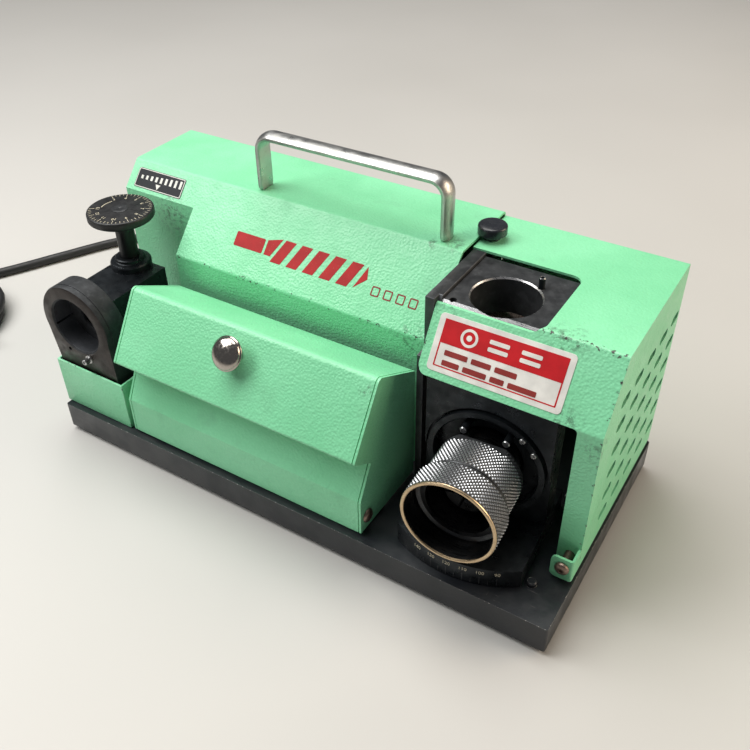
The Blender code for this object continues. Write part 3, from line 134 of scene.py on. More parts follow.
def rod(radius, start, end, segments=48, axis="Z", centre=(0, 0)):
    place = {"Z": (*centre, 0), "X": (0, *centre), "Y": (centre[0], 0, centre[1])}[axis]
    return turned([(0, start), (radius, start), (radius, end), (0, end)], segments, axis, place)


def offset(outline, distance):
    count = len(outline)
    lines = []
    for index in range(count):
        (x0, y0), (x1, y1) = outline[index], outline[(index + 1) % count]
        length = hypot(x1 - x0, y1 - y0)
        normal = (-(y1 - y0) / length, (x1 - x0) / length)
        lines.append((normal, normal[0] * x0 + normal[1] * y0 + distance))
    inner = []
    for index in range(count):
        (a0, b0), c0 = lines[index - 1]
        (a1, b1), c1 = lines[index]
        det = a0 * b1 - a1 * b0
        inner.append(((c0 * b1 - c1 * b0) / det, (a0 * c1 - a1 * c0) / det))
    return inner


def rounded(outline, radii, steps=8):
    result = []
    count = len(outline)
    for index, (corner, radius) in enumerate(zip(outline, radii)):
        if radius == 0:
            result.append(corner)
            continue
        here = Vector(corner)
        back = (Vector(outline[index - 1]) - here).normalized()
        ahead = (Vector(outline[(index + 1) % count]) - here).normalized()
        half = back.angle(ahead) / 2
        centre = here + (back + ahead).normalized() * (radius / sin(half))
        start = here + back * (radius / tan(half)) - centre
        end = here + ahead * (radius / tan(half)) - centre
        first, last = atan2(start.y, start.x), atan2(end.y, end.x)
        sweep = (last - first + pi) % (2 * pi) - pi
        for step in range(steps + 1):
            angle = first + sweep * step / steps
            result.append((centre.x + radius * cos(angle), centre.y + radius * sin(angle)))
    return result


def oblong(x0, x1, y0, y1, radius, steps=6):
    return rounded([(x0, y0), (x1, y0), (x1, y1), (x0, y1)], [radius] * 4, steps)


def arc(cx, cy, radius, start, end, steps):
    angles = [radians(start + (end - start) * step / steps) for step in range(steps + 1)]
    return [(cx + radius * cos(angle), cy + radius * sin(angle)) for angle in angles]


def merged(meshes):
    whole = bmesh.new()
    for mesh in meshes:
        data = bpy.data.meshes.new("scratch")
        mesh.to_mesh(data)
        mesh.free()
        whole.from_mesh(data)
        bpy.data.meshes.remove(data)
    return whole


def scratch(mesh):
    data = bpy.data.meshes.new("scratch")
    mesh.to_mesh(data)
    mesh.free()
    made = bpy.data.objects.new("scratch", data)
    scene.collection.objects.link(made)
    return made


def settled(target):
    """A mesh with the target's modifiers applied."""
    graph = bpy.context.evaluated_depsgraph_get()
    return bpy.data.meshes.new_from_object(target.evaluated_get(graph))


def carve(mesh, cuts=(), joins=()):
    target = scratch(mesh)
    tools = []
    for operation, others in (("UNION", joins), ("DIFFERENCE", cuts)):
        for other in others:
            tool = scratch(other)
            step = target.modifiers.new("carve", "BOOLEAN")
            step.operation = operation
            step.solver = "EXACT"
            step.object = tool
            tools.append(tool)
    data = settled(target)
    result = bmesh.new()
    result.from_mesh(data)
    bpy.data.meshes.remove(data)
    for item in [target, *tools]:
        old = item.data
        bpy.data.objects.remove(item, do_unlink=True)
        bpy.data.meshes.remove(old)
    bmesh.ops.remove_doubles(result, verts=result.verts, dist=0.002)
    bmesh.ops.dissolve_limit(result, angle_limit=radians(0.4), verts=result.verts, edges=result.edges)
    return result


def lettering(text, size, thickness):
    curve = bpy.data.curves.new("figures", "FONT")
    curve.body = text
    curve.size = size
    curve.align_x = "CENTER"
    curve.align_y = "CENTER"
    curve.extrude = thickness / 2
    curve.resolution_u = 3
    made = bpy.data.objects.new("figures", curve)
    scene.collection.objects.link(made)
    data = settled(made)
    mesh = bmesh.new()
    mesh.from_mesh(data)
    bpy.data.meshes.remove(data)
    bpy.data.objects.remove(made, do_unlink=True)
    bpy.data.curves.remove(curve)
    return mesh


def cad_mesh(node):
    """A CAD node's shape in millimetres on the bench, with its flat faces whole again."""
    mesh = bmesh.new()
    mesh.from_mesh(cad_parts[node].data)
    mesh.transform(BENCH.inverted())
    bmesh.ops.remove_doubles(mesh, verts=mesh.verts, dist=0.01)
    bmesh.ops.dissolve_limit(mesh, angle_limit=radians(1), verts=mesh.verts, edges=mesh.edges)
    bmesh.ops.recalc_face_normals(mesh, faces=mesh.faces)
    return mesh


def piece(name, mesh, look, body, stands_for=(), slot=None, bevel=0.0, edge=None, place=None,
          crease=30, regions=()):
    """Make a finished piece. `regions` gives other materials to the faces that a test picks."""
    if place:
        mesh.transform(place)
    data = bpy.data.meshes.new(name)
    mesh.to_mesh(data)
    mesh.free()
    data.materials.append(look)
    data.shade_smooth()
    made = bpy.data.objects.new(name, data)
    scene.collection.objects.link(made)
    if bevel:
        step = made.modifiers.new("edges", "BEVEL")
        step.width = bevel
        step.segments = 2
        step.limit_method = "ANGLE"
        step.angle_limit = radians(crease)
        step.harden_normals = True
        if edge:
            data.materials.append(edge)
            step.material = 1
        made.data = settled(made)
        made.modifiers.clear()
        bpy.data.meshes.remove(data)
        data = made.data
        data.name = name
    else:
        data.set_sharp_from_angle(angle=radians(crease))
    for other, test in regions:
        data.materials.append(other)
        for polygon in data.polygons:
            if test(polygon.center, polygon.normal):
                polygon.material_index = len(data.materials) - 1
    data.transform(BENCH)
    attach(made, body)
    if stands_for:
        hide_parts(*stands_for)
    return made


def part(node, mesh, look, body, slot, bevel=0.0, edge=None, **extra):
    """The piece that stands for the CAD node of the same name."""
    return piece(node + "_look", mesh, look, body, [node], slot, bevel, edge, **extra)


def refined(node, look, body, slot, bevel, edge=None):
    return part(node, cad_mesh(node), look, body, slot, bevel, edge)


def marking(name, mesh, look, body="machine", place=None, bevel=0.0):
    """Ink, a figure or a plate that stands for no CAD node."""
    return piece(name, mesh, look, body, bevel=bevel, place=place)


# ------------------------------------------------------------------ materials
class Look:
    """A material in the making. Its nodes see the bench frame in millimetres."""

    def __init__(self, name, colour, roughness, metallic=0.0, **sockets):
        self.material = bpy.data.materials.new(name)
        self.material.use_nodes = True
        self.tree = self.material.node_tree
        self.shader = self.tree.nodes["Principled BSDF"]
        self.shader.inputs["Base Color"].default_value = (*colour, 1)
        self.shader.inputs["Roughness"].default_value = roughness
        self.shader.inputs["Metallic"].default_value = metallic
        for socket, value in sockets.items():
            self.shader.inputs[socket.replace("_", " ")].default_value = value
        where = self.node("TexCoord", output="Object")
        where = self.node("VectorMath", {0: where, 1: tuple(ORIGIN)}, operation="SUBTRACT")
        self.place = self.node("VectorMath", {0: where, 3: 1 / MM}, operation="SCALE")
        self.normal = None

    def node(self, kind, inputs=None, output=0, **settings):
        made = self.tree.nodes.new("ShaderNode" + kind)
        for key, value in settings.items():
            setattr(made, key, value)
        for key, value in (inputs or {}).items():
            self.feed(made.inputs[key], value)
        return made.outputs[output]

    def feed(self, socket, value):
        if isinstance(value, bpy.types.NodeSocket):
            self.tree.links.new(value, socket)
        else:
            socket.default_value = value

    def stretched(self, stretch):
        return self.node("VectorMath", {0: self.place, 1: stretch}, operation="MULTIPLY")

    def noise(self, size, detail=2.0, rough=0.5, stretch=None):
        """Noise whose features are about `size` millimetres across."""
        where = self.stretched(stretch) if stretch else self.place
        return self.node(
            "TexNoise", {"Vector": where, "Scale": 1 / size, "Detail": detail, "Roughness": rough}
        )

    def cells(self, size, smooth=0.6):
        inputs = {"Vector": self.place, "Scale": 1 / size, "Smoothness": smooth}
        return self.node("TexVoronoi", inputs, feature="SMOOTH_F1")

    def ramp(self, value, low, high, start=0.0, end=1.0):
        inputs = {"Value": value, "From Min": low, "From Max": high, "To Min": start, "To Max": end}
        return self.node("MapRange", inputs, interpolation_type="SMOOTHSTEP")

    def math(self, operation, a, b=0.0):
        return self.node("Math", {0: a, 1: b}, operation=operation)

    def both(self, a, b):
        return self.math("MULTIPLY", a, b)

    def either(self, a, b):
        return self.math("MAXIMUM", a, b)

    def mix(self, share, a, b):
        a = a if isinstance(a, bpy.types.NodeSocket) else (*a, 1)
        b = b if isinstance(b, bpy.types.NodeSocket) else (*b, 1)
        return self.node("Mix", {0: share, 6: a, 7: b}, output=2, data_type="RGBA")

    def near_line(self, point, direction, width):
        """1 on a line in the bench frame, fading to 0 at `width` from it."""
        away = self.node("VectorMath", {0: self.place, 1: point}, operation="SUBTRACT")
        along = tuple(Vector(direction).normalized())
        across = self.node("VectorMath", {0: away, 1: along}, operation="CROSS_PRODUCT")
        distance = self.node("VectorMath", {0: across}, output="Value", operation="LENGTH")
        return self.ramp(distance, 0.0, width, 1.0, 0.0)

    def near_point(self, point, width):
        distance = self.node("VectorMath", {0: self.place, 1: point}, output="Value", operation="DISTANCE")
        return self.ramp(distance, 0.0, width, 1.0, 0.0)

    def bump(self, height, depth, strength=1.0):
        """Relief whose full swing is `depth` millimetres."""
        inputs = {"Height": height, "Distance": depth * MM, "Strength": strength}
        if self.normal:
            inputs["Normal"] = self.normal
        self.normal = self.node("Bump", inputs)

    def done(self, colour=None, roughness=None, metallic=None):
        for name, value in (("Base Color", colour), ("Roughness", roughness), ("Metallic", metallic)):
            if value is not None:
                self.feed(self.shader.inputs[name], value)
        if self.normal:
            self.feed(self.shader.inputs["Normal"], self.normal)
        return self.material


GREEN = (0.232, 0.69, 0.385)
GREEN_PALE = (0.28, 0.745, 0.44)
GREEN_DEEP = (0.18, 0.575, 0.305)
# Dark for grime patches, and for the painted shade on the housing's notch wall.
GRIME_AND_SHADE = (0.035, 0.05, 0.035)
PRIMER = (0.06, 0.055, 0.05)


def green_paint(name, worn=(), stains_and_shade=(), chips=0.55):
    """Wrinkled machine paint, rubbed and chipped along the `worn` lines and darkened in patches at the
    given spots, with grime at most of them and painted shade on the notch's front wall.
    """
    look = Look(name, GREEN, 0.42, Coat_Weight=0.08, Coat_Roughness=0.25)
    patches = look.ramp(look.noise(70, 3), 0.35, 0.65)
    colour = look.mix(patches, GREEN_DEEP, GREEN_PALE)
    colour = look.mix(0.55, colour, GREEN)
    grain = look.cells(1.3)
    fine = look.noise(0.9, 3, 0.6)
    colour = look.mix(look.ramp(grain, 0.15, 0.75, 0.0, 0.16), colour, GREEN_DEEP)
    spots = look.ramp(look.noise(1.3, 2, 0.7), 0.74, 0.79)
    film = look.ramp(look.noise(24, 4, 0.65), 0.55, 0.8, 0.0, 0.16)
    dirt_and_shade = look.either(look.both(spots, 0.45), film)
    bare = 0.0
    chip_noise = look.noise(2.6, 6, 0.72)
    for point, direction, width in worn:
        line = look.near_line(point, direction, width)
        hit = look.ramp(look.math("ADD", chip_noise, look.both(line, 0.17)), chips + 0.155, chips + 0.175)
        bare = look.either(bare, look.both(hit, look.ramp(line, 0.05, 0.4)))
    for point, width in stains_and_shade:
        area = look.near_point(point, width)
        patch = look.ramp(look.noise(3.2, 5, 0.7), 0.47, 0.62)
        dirt_and_shade = look.either(dirt_and_shade, look.both(look.both(area, patch), 0.7))
    colour = look.mix(dirt_and_shade, colour, GRIME_AND_SHADE)
    colour = look.mix(bare, colour, PRIMER)
    look.bump(grain, 0.22)
    look.bump(fine, 0.05)
    look.bump(look.math("SUBTRACT", 1.0, bare), 0.12)
    roughness = look.ramp(look.noise(12, 3), 0.3, 0.7, 0.36, 0.5)
    return look.done(colour, look.either(roughness, look.both(dirt_and_shade, 0.75)))


def green_edge():
    """Paint on a sheet's bends and cut edges, thin and chipped through here and there, and painted lighter
    than the sheet as a highlight along them.
    """
    look = Look("green_edge", GREEN_PALE, 0.38)
    chips = look.ramp(look.noise(3.4, 6, 0.75), 0.6, 0.64)
    # painted highlight: the edges run a lighter green than the sheet
    colour = look.mix(look.ramp(look.noise(9, 3), 0.35, 0.7), GREEN, (0.36, 0.79, 0.52))
    look.bump(look.noise(1.0, 3), 0.05)
    return look.done(look.mix(chips, colour, PRIMER))


def black_paint(name, colour=(0.013, 0.0155, 0.0195), rubbed=0.0, roughness=0.36):
    """Semi-gloss black enamel with dust, fine scratches and, where rubbed, bright specks."""
    look = Look(name, colour, roughness)
    dust = look.ramp(look.noise(28, 5, 0.65), 0.45, 0.75, 0.0, 0.3)
    made = look.mix(dust, colour, (0.042, 0.045, 0.048))
    scratches = look.ramp(look.noise(1.0, 4, 0.6, (0.09, 1.6, 1.0)), 0.66, 0.72)
    other = look.ramp(look.noise(1.0, 4, 0.6, (1.5, 0.08, 1.0)), 0.68, 0.74)
    marks = look.both(look.either(scratches, other), look.ramp(look.noise(35, 2), 0.45, 0.6))
    made = look.mix(look.both(marks, 0.35), made, (0.2, 0.2, 0.2))
    bare = look.ramp(look.noise(2.2, 6, 0.75), 0.72 - rubbed, 0.75 - rubbed)
    if rubbed:
        made = look.mix(bare, made, (0.42, 0.41, 0.39))
    look.bump(look.noise(1.6, 3), 0.05)
    look.bump(look.noise(0.5, 2), 0.02)
    return look.done(made, look.ramp(look.noise(14, 4), 0.3, 0.7, roughness - 0.08, roughness + 0.12))


def cast_iron(name, colour, roughness=0.5, worn=0.25, metallic=0.55):
    """Blackened machined iron: mottled, slightly oily, paler where handling has polished it."""
    look = Look(name, colour, roughness, metallic)
    deep = tuple(channel * 0.55 for channel in colour)
    pale = tuple(min(1.0, channel * 2.4 + 0.03) for channel in colour)
    made = look.mix(look.ramp(look.noise(9, 5, 0.65), 0.3, 0.7), deep, colour)
    made = look.mix(look.ramp(look.noise(3.5, 6, 0.7), 0.52, 0.72, 0.0, worn), made, pale)
    rust = look.ramp(look.noise(5.5, 5, 0.7), 0.66, 0.76, 0.0, 0.35)
    made = look.mix(rust, made, (0.12, 0.06, 0.03))
    look.bump(look.noise(0.7, 4, 0.65), 0.035)
    return look.done(made, look.ramp(look.noise(6, 4), 0.3, 0.7, roughness - 0.1, roughness + 0.15))


def bright_steel(name, colour=(0.62, 0.62, 0.61), roughness=0.28, grain=(0.05, 1.0, 0.05), tarnish=0.3,
                 stain=(0.22, 0.19, 0.15)):
    """Machined or plated steel: tool marks across `grain`, tarnished in patches."""
    look = Look(name, colour, roughness, 1.0)
    patch = look.ramp(look.noise(7, 6, 0.7), 0.5, 0.72, 0.0, tarnish)
    made = look.mix(patch, colour, stain)
    lines = look.noise(0.35, 2, 0.5, grain)
    made = look.mix(look.ramp(lines, 0.3, 0.7, 0.0, 0.18), made, tuple(channel * 0.6 for channel in colour))
    look.bump(lines, 0.012)
    return look.done(made, look.math("ADD", look.ramp(lines, 0.3, 0.7, roughness - 0.06, roughness + 0.1),
                                     look.both(patch, 0.3)))


def knurled_steel(name, radius):
    """Knurled steel: bright crests at `radius` from the chuck's axis, the grooves painted near black as
    shade, with a little oil and grit.
    """
    look = Look(name, (0.5, 0.51, 0.52), 0.3, 1.0)
    place, along = PORT @ Vector((0, 0, CHUCK_Z)), PORT.to_3x3() @ Vector((0, 1, 0))
    away = look.node("VectorMath", {0: look.place, 1: tuple(place)}, operation="SUBTRACT")
    across = look.node("VectorMath", {0: away, 1: tuple(along)}, operation="CROSS_PRODUCT")
    reach = look.node("VectorMath", {0: across}, output="Value", operation="LENGTH")
    crest = look.ramp(reach, radius - KNURL_DEPTH * 0.95, radius - KNURL_DEPTH * 0.2)
    patch = look.ramp(look.noise(6, 5, 0.7), 0.45, 0.75, 0.0, 0.3)
    made = look.mix(patch, (0.52, 0.53, 0.55), (0.33, 0.32, 0.30))
    # painted shade: below the crests the grooves go near black
    made = look.mix(crest, (0.075, 0.077, 0.08), made)
    look.bump(look.noise(0.3, 3), 0.01)
    return look.done(made, look.ramp(crest, 0.0, 1.0, 0.6, 0.26))


def moulded(name, colour, roughness=0.45, grain=0.02):
    """Moulded plastic or rubber with a fine skin and a little dust."""
    look = Look(name, colour, roughness)
    dust = look.ramp(look.noise(10, 4, 0.65), 0.45, 0.8, 0.0, 0.25)
    made = look.mix(dust, colour, tuple(channel + 0.025 for channel in colour))
    look.bump(look.noise(0.35, 3, 0.6), grain)
    return look.done(made, look.ramp(look.noise(4, 3), 0.3, 0.7, roughness - 0.05, roughness + 0.12))


def printed(name, colour, wear=0.3, under=None):
    """Ink or sign paint, specked with wear."""
    look = Look(name, colour, 0.55, Specular_IOR_Level=0.25)
    specks = look.ramp(look.noise(0.8, 5, 0.75), 0.72 - wear * 0.2, 0.78 - wear * 0.2)
    tone = look.mix(
        look.ramp(look.noise(8, 3), 0.3, 0.7), colour, tuple(channel * 0.82 for channel in colour)
    )
    made = look.mix(specks, tone, under or tuple(channel * 0.35 for channel in colour))
    look.bump(look.noise(0.6, 3), 0.02)
    return look.done(made)


def abrasive():
    look = Look("grit", (0.46, 0.33, 0.29), 0.9)
    made = look.mix(look.ramp(look.noise(0.5, 2), 0.4, 0.6), (0.3, 0.2, 0.18), (0.62, 0.5, 0.46))
    look.bump(look.cells(0.45), 0.14)
    return look.done(made)


def floor_paint():
    look = Look("floor", (0.5, 0.49, 0.47), 0.62)
    look.bump(look.noise(3, 4), 0.02)
    made = look.mix(look.ramp(look.noise(600, 3), 0.3, 0.7), (0.48, 0.47, 0.45), (0.53, 0.52, 0.50))
    return look.done(made)


# Sheet-metal lines that rub and chip
SLOPE_FOOT, SLOPE_HEAD = Vector((0, 66.2, 106.6)), Vector((0, 99.4, 142.6))
COVER_FOOT, COVER_HEAD = Vector((0, 39.8, 108.3)), Vector((0, 60.1, 140.2))
ALONG_X, ALONG_Y, ALONG_Z = (1, 0, 0), (0, 1, 0), (0, 0, 1)

GREEN_HOUSING = green_paint(
    "green_paint",
    worn=[((0, 66.2, 106.6), ALONG_X, 5), ((218, 80, 121), (0, 0.68, 0.73), 2.5)],
    # the patch at (30, 87, 120) is painted shade on the notch's front wall under the dial; the others are
    # grime
    stains_and_shade=[((207, 67, 104), 13), ((212, 104, 142), 9), ((30, 87, 120), 20), ((200, 100, 142), 6)],
    chips=0.6,
)
GREEN_COVER = green_paint(
    "green_paint_cover",
    worn=[(tuple(COVER_HEAD), ALONG_X, 4.5), ((279, 62, 140), (0.9, -0.2, 0), 5),
          ((225.2, 50, 122), (0, 0.53, 0.84), 4),
          ((318.9, 50, 124), (0, 0.53, 0.84), 3), ((318.9, 39.8, 60), ALONG_Z, 2.5)],
    stains_and_shade=[((232, 58, 136), 9), ((290, 60, 139), 16), ((316, 42, 100), 10), ((300, 40, 110), 12)],
    chips=0.57,
)
GREEN_DOOR = green_paint(
    "green_paint_door",
    worn=[((0, 24, 111), ALONG_X, 1.6), ((0, -0.5, 73.9), ALONG_X, 1.3)],
    stains_and_shade=[((210, 20, 104), 6)],
    chips=0.63,
)
GREEN_EDGE_HIGHLIGHT_AND_CHIPS = green_edge()
BLACK_BASE = black_paint("black_paint")
BLACK_EDGE = black_paint("black_edge", (0.04, 0.041, 0.043), rubbed=0.17)
BLACK_KNOB = moulded("black_plastic", (0.018, 0.02, 0.026), 0.24, 0.006)
BLACK_DIAL = moulded("dial_black", (0.006, 0.0062, 0.007), 0.42, 0.012)
RUBBER = moulded("black_rubber", (0.008, 0.008, 0.009), 0.5, 0.02)
CAST = cast_iron("black_casting", (0.055, 0.058, 0.062), 0.42)
CAST_EDGE = cast_iron("casting_edge", (0.10, 0.105, 0.115), 0.5, 0.35, 0.6)
CAST_GREY = cast_iron("grey_casting", (0.04, 0.043, 0.047), 0.6, 0.25, 0.5)
CAST_FACE = cast_iron("brown_casting", (0.034, 0.027, 0.024), 0.4, 0.3, 0.5)
SOCKET_BORE = bright_steel("socket_bore", (0.19, 0.20, 0.22), 0.46, tarnish=0.5, stain=(0.07, 0.06, 0.055))
PORT_BLACK = cast_iron("dark_steel", (0.022, 0.027, 0.032), 0.34, 0.12, 0.6)
PORT_EDGE = cast_iron("dark_steel_edge", (0.12, 0.13, 0.14), 0.35, 0.5, 0.9)
BORE_EDGE = bright_steel("bore_edge", (0.42, 0.42, 0.43), 0.3, tarnish=0.4)
KNURL_BODY = knurled_steel("knurled_steel", 22.4)
KNURL_NUT = knurled_steel("knurled_steel_nut", 24.6)
BRASSY = bright_steel("worn_rim", (0.62, 0.47, 0.30), 0.3, tarnish=0.35, stain=(0.25, 0.17, 0.10))
TURNED = bright_steel("turned_steel", (0.52, 0.52, 0.52), 0.3)
# Near-black turned steel for the faces inside the chuck and the port: dark steel, darkened further as
# painted shade in these recesses.
SHADED_DARK_TURNED = bright_steel(
    "shaded_dark_turned_steel", (0.06, 0.063, 0.066), 0.3, tarnish=0.4, stain=(0.08, 0.05, 0.03)
)
SATIN = bright_steel("satin_steel", (0.47, 0.47, 0.46), 0.33, (0.06, 0.06, 0.05), 0.4, (0.23, 0.21, 0.16))
# painted reflection: the chrome is tinted warm brown for the wooden floor it would mirror
CHROME = bright_steel("chrome", (0.44, 0.40, 0.36), 0.13, (0.3, 0.3, 0.3), 0.35, (0.3, 0.24, 0.19))
RUSTY = bright_steel("rusty_steel", (0.3, 0.22, 0.18), 0.42, (0.3, 0.3, 0.3), 0.7, (0.11, 0.06, 0.04))
ALUMINIUM = bright_steel("bare_aluminium", (0.7, 0.7, 0.68), 0.38, tarnish=0.2)
GRIT = abrasive()
WHITE_INK = printed("white_ink", (0.78, 0.77, 0.72), 0.25, (0.3, 0.3, 0.28))
CREAM_INK = printed("cream_ink", (0.60, 0.55, 0.42), 0.5)
RED_INK = printed("red_ink", (0.43, 0.012, 0.014), 0.35, (0.22, 0.5, 0.3))
DEEP_RED_INK = printed("deep_red_ink", (0.28, 0.035, 0.03), 0.3)
SIGN_RED = printed("sign_red", (0.56, 0.012, 0.018), 0.1, (0.3, 0.02, 0.02))
SIGN_WHITE = printed("sign_white", (0.82, 0.80, 0.75), 0.15, (0.55, 0.48, 0.38))
LABEL_BLACK = printed("label_black", (0.014, 0.015, 0.02), 0.1, (0.1, 0.1, 0.1))


# ------------------------------------------------------------------ camera, floor and light
def camera():
    azimuth, elevation, roll = radians(-32.09), radians(37.76), radians(0.812)
    forward = Vector((sin(azimuth) * cos(elevation), cos(azimuth) * cos(elevation), -sin(elevation)))
    level = Vector((cos(azimuth), -sin(azimuth), 0))
    down = forward.cross(level)
    right = cos(roll) * level + sin(roll) * down
    low = -sin(roll) * level + cos(roll) * down
    made = bpy.data.objects.new("camera", bpy.data.cameras.new("camera"))
    scene.collection.objects.link(made)
    turn = Matrix((right, -low, -forward)).transposed().to_4x4()
    made.matrix_world = Matrix.Translation(BENCH @ Vector((383.47, -245.41, 363.98))) @ turn
    made.data.sensor_width = 36
    made.data.lens = 41.47
    made.data.shift_x = -0.00582
    made.data.shift_y = -0.01081
    made.data.clip_start = 0.02
    made.data.clip_end = 40
    scene.camera = made


def area_light(name, place, target, size, power, colour=(1, 1, 1)):
    data = bpy.data.lights.new(name, "AREA")
    data.shape = "RECTANGLE"
    data.size, data.size_y = size
    data.energy = power
    data.color = colour
    made = bpy.data.objects.new(name, data)
    scene.collection.objects.link(made)
    made.location = BENCH @ Vector(place)
    aim = (BENCH @ Vector(target)) - made.location
    made.rotation_euler = aim.to_track_quat("-Z", "Y").to_euler()


def surroundings():
    world = bpy.data.worlds.new("studio")
    scene.world = world
    world.use_nodes = True
    world.node_tree.nodes["Background"].inputs["Color"].default_value = (0.93, 0.96, 1.0, 1)
    world.node_tree.nodes["Background"].inputs["Strength"].default_value = 0.13
    area_light("key", (-396, 294, 2108), (150, 60, 80), (1.5, 1.5), 46, (1.0, 0.985, 0.95))
    area_light("front_left", (-340, -240, 680), (150, 30, 80), (0.5, 0.45), 4.9, (1.0, 0.995, 0.97))
    area_light("right", (1340, 670, 640), (300, 90, 70), (0.9, 0.9), 13, (1.0, 0.82, 0.62))
    scene.view_settings.view_transform = "Standard"
    floor = bmesh.new()
    bmesh.ops.create_grid(floor, x_segments=1, y_segments=1, size=6)
    data = bpy.data.meshes.new("floor")
    floor.to_mesh(data)
    floor.free()
    data.materials.append(floor_paint())
    made = bpy.data.objects.new("floor", data)
    scene.collection.objects.link(made)


camera()
surroundings()

# ------------------------------------------------------------------ mains lead
CORD_RADIUS = 3.5
COIL = Vector((-173.5, 31, 0))
COIL_OUTER = 47.2


def catmull(points, spacing):
    ends = [2 * points[0] - points[1], *points, 2 * points[-1] - points[-2]]
    dense = []
    for index in range(len(points) - 1):
        p0, p1, p2, p3 = ends[index : index + 4]
        for step in range(24):
            t = step / 24
            a = 2 * p1 + (p2 - p0) * t
            b = (2 * p0 - 5 * p1 + 4 * p2 - p3) * t * t
            c = (3 * p1 - p0 - 3 * p2 + p3) * t**3
            dense.append((a + b + c) / 2)
    dense.append(points[-1])
    picked, run = [dense[0]], 0.0
    for before, after in zip(dense, dense[1:]):
        run += (after - before).length
        if run >= spacing:
            picked.append(after)
            run = 0.0
    picked[-1] = dense[-1]
    return picked


def coil_points():
    """Two layers of turns: inwards on the floor, up at the middle, and back outwards on top."""
    start = 152
    stages = [(2.25, 31.25, 3.5), (0.4, 30.0, 10.5), (2.428, 47.0, 10.5)]
    points = []
    angle, radius, height = start, COIL_OUTER, 3.5
    for turns, end_radius, end_height in stages:
        steps = round(turns * 30)
        for step in range(steps):
            t = step / steps
            here = radians(angle + 360 * turns * t)
            reach = radius + (end_radius - radius) * t
            level = height + (end_height - height) * t
            points.append(COIL + Vector((reach * cos(here), reach * sin(here), level)))
        angle, radius, height = angle + 360 * turns, end_radius, end_height
    return points


def mains_cord():
    low = CORD_RADIUS
    tangent, outward = Vector((-0.47, -0.883, 0)), Vector((-0.883, 0.47, 0))
    lead = [
        CORD_START, (
            30, 183, 33.4
        ), (29, 191, 30), (24, 207, 18), (9, 223, 7), (-14, 234, low), (-50, 238, low),
        (-88, 229, low), (-121, 209, low), (-145, 181, low), (-165, 144, low), (-184, 107, low),
    ]
    approach = COIL + outward * (COIL_OUTER - 0.6) - tangent * 24 + Vector((0, 0, low))
    points = catmull([*map(Vector, lead), approach, coil_points()[0]], 9)[:-1]
    points += coil_points()
    tail = [(-220.4, 30, 10.5), (-220.4, 20, 10.1), (-220.2, 10, 9.2), (-220, 3, 8.6), (-220, -3, 8.5)]
    points += [Vector(point) for point in tail]
    curve = bpy.data.curves.new("cord", "CURVE")
    curve.dimensions = "3D"
    curve.bevel_depth = CORD_RADIUS * MM
    curve.bevel_resolution = 6
    curve.use_fill_caps = True
    spline = curve.splines.new("POLY")
    spline.points.add(len(points) - 1)
    for target, point in zip(spline.points, points):
        target.co = (*(BENCH @ point), 1)
    spline.use_smooth = True
    curve.materials.append(RUBBER)
    made = bpy.data.objects.new("cord", curve)
    scene.collection.objects.link(made)
    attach(made, "machine")
    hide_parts("cord_lead", "cord_coil")
    length = sum((after - before).length for before, after in zip(points, points[1:])) * MM
    return made, length


def mains_plug():
    """Two-blade moulded plug with a ribbed grip."""
    x, rear = -220.0, 0.0
    widths = [(5.2, 0), (6.6, -6), (8.6, -17), (9.4, -25), (12, -30.5), (12, -38)]
    outline = [(x - half, rear + y) for half, y in widths] + [
        (x + half, rear + y) for half, y in reversed(widths)
    ]
    body = prism(outline, "Z", 0.4, 16.6)
    grooves = [
        block(x - 14, x + 14, y - 0.8, y + 0.8, z0, z1)
        for y in (-9, -13, -17, -21) for z0, z1 in ((14.9, 18), (-2, 2.1))
    ]
    made = piece(
        "plug_body", carve(body, [merged(grooves)]), RUBBER, "machine", ["mains_plug"], "black_rubber", 1.3
    )
    blades = []
    for side in (-1, 1):
        centre = x + side * 6.35
        blade = block(centre - 0.75, centre + 0.75, -55, -36, 5.3, 11.7)
        blades.append(carve(blade, [rod(1.5, centre - 3, centre + 3, 20, "X", (-51, 8.5))]))
    prongs = piece("plug_blades", merged(blades), TURNED, "machine", (), "turned_steel", 0.25)
    return made, prongs


def cord_tie():
    """Band round one side of the coil."""
    outer = oblong(COIL.x + 25.4, COIL.x + 51.9, 0.05, 15.3, 3)
    inner = oblong(COIL.x + 26.2, COIL.x + 51.1, 0.8, 14.5, 2.3)
    band = carve(prism(outer, "Y", COIL.y - 2.5, COIL.y + 2.5), [prism(inner, "Y", COIL.y - 4, COIL.y + 4)])
    twist = merged([rod(0.8, 0, 12, 12, "Z"), rod(0.8, 0, 12, 12, "Z", (1.5, 0.4))])
    twist.transform(Matrix.Translation((COIL.x + 51.2, COIL.y, 9)) @ Matrix.Rotation(radians(70), 4, "Y"))
    return piece("cord_tie", merged([band, twist]), RUBBER, "machine", (), "black_rubber", 0.2)


def strain_relief():
    profile = [(3.3, -6), (5.9, -6), (5.9, 0), (8, 0), (8, 3), (6.5, 4.2)]
    ribs = 8
    for rib in range(ribs):
        y = 5.4 + rib * 2.75
        radius = 6.3 - (y - 4.2) * 0.062
        profile += [(radius, y), (radius, y + 1.5), (radius - 0.9, y + 1.75), (radius - 0.9, y + 2.5)]
    profile += [(4.8, 27.6), (4.5, 28), (3.3, 28)]
    return part(
        "strain_relief", turned(profile, 48, "Y", (CORD_EXIT[0], 151, CORD_EXIT[1])), RUBBER, "machine",
        "black_rubber", 0.15,
    )


cord, cord_length = mains_cord()
plug_pieces = mains_plug()
tie = cord_tie()
strain_relief()


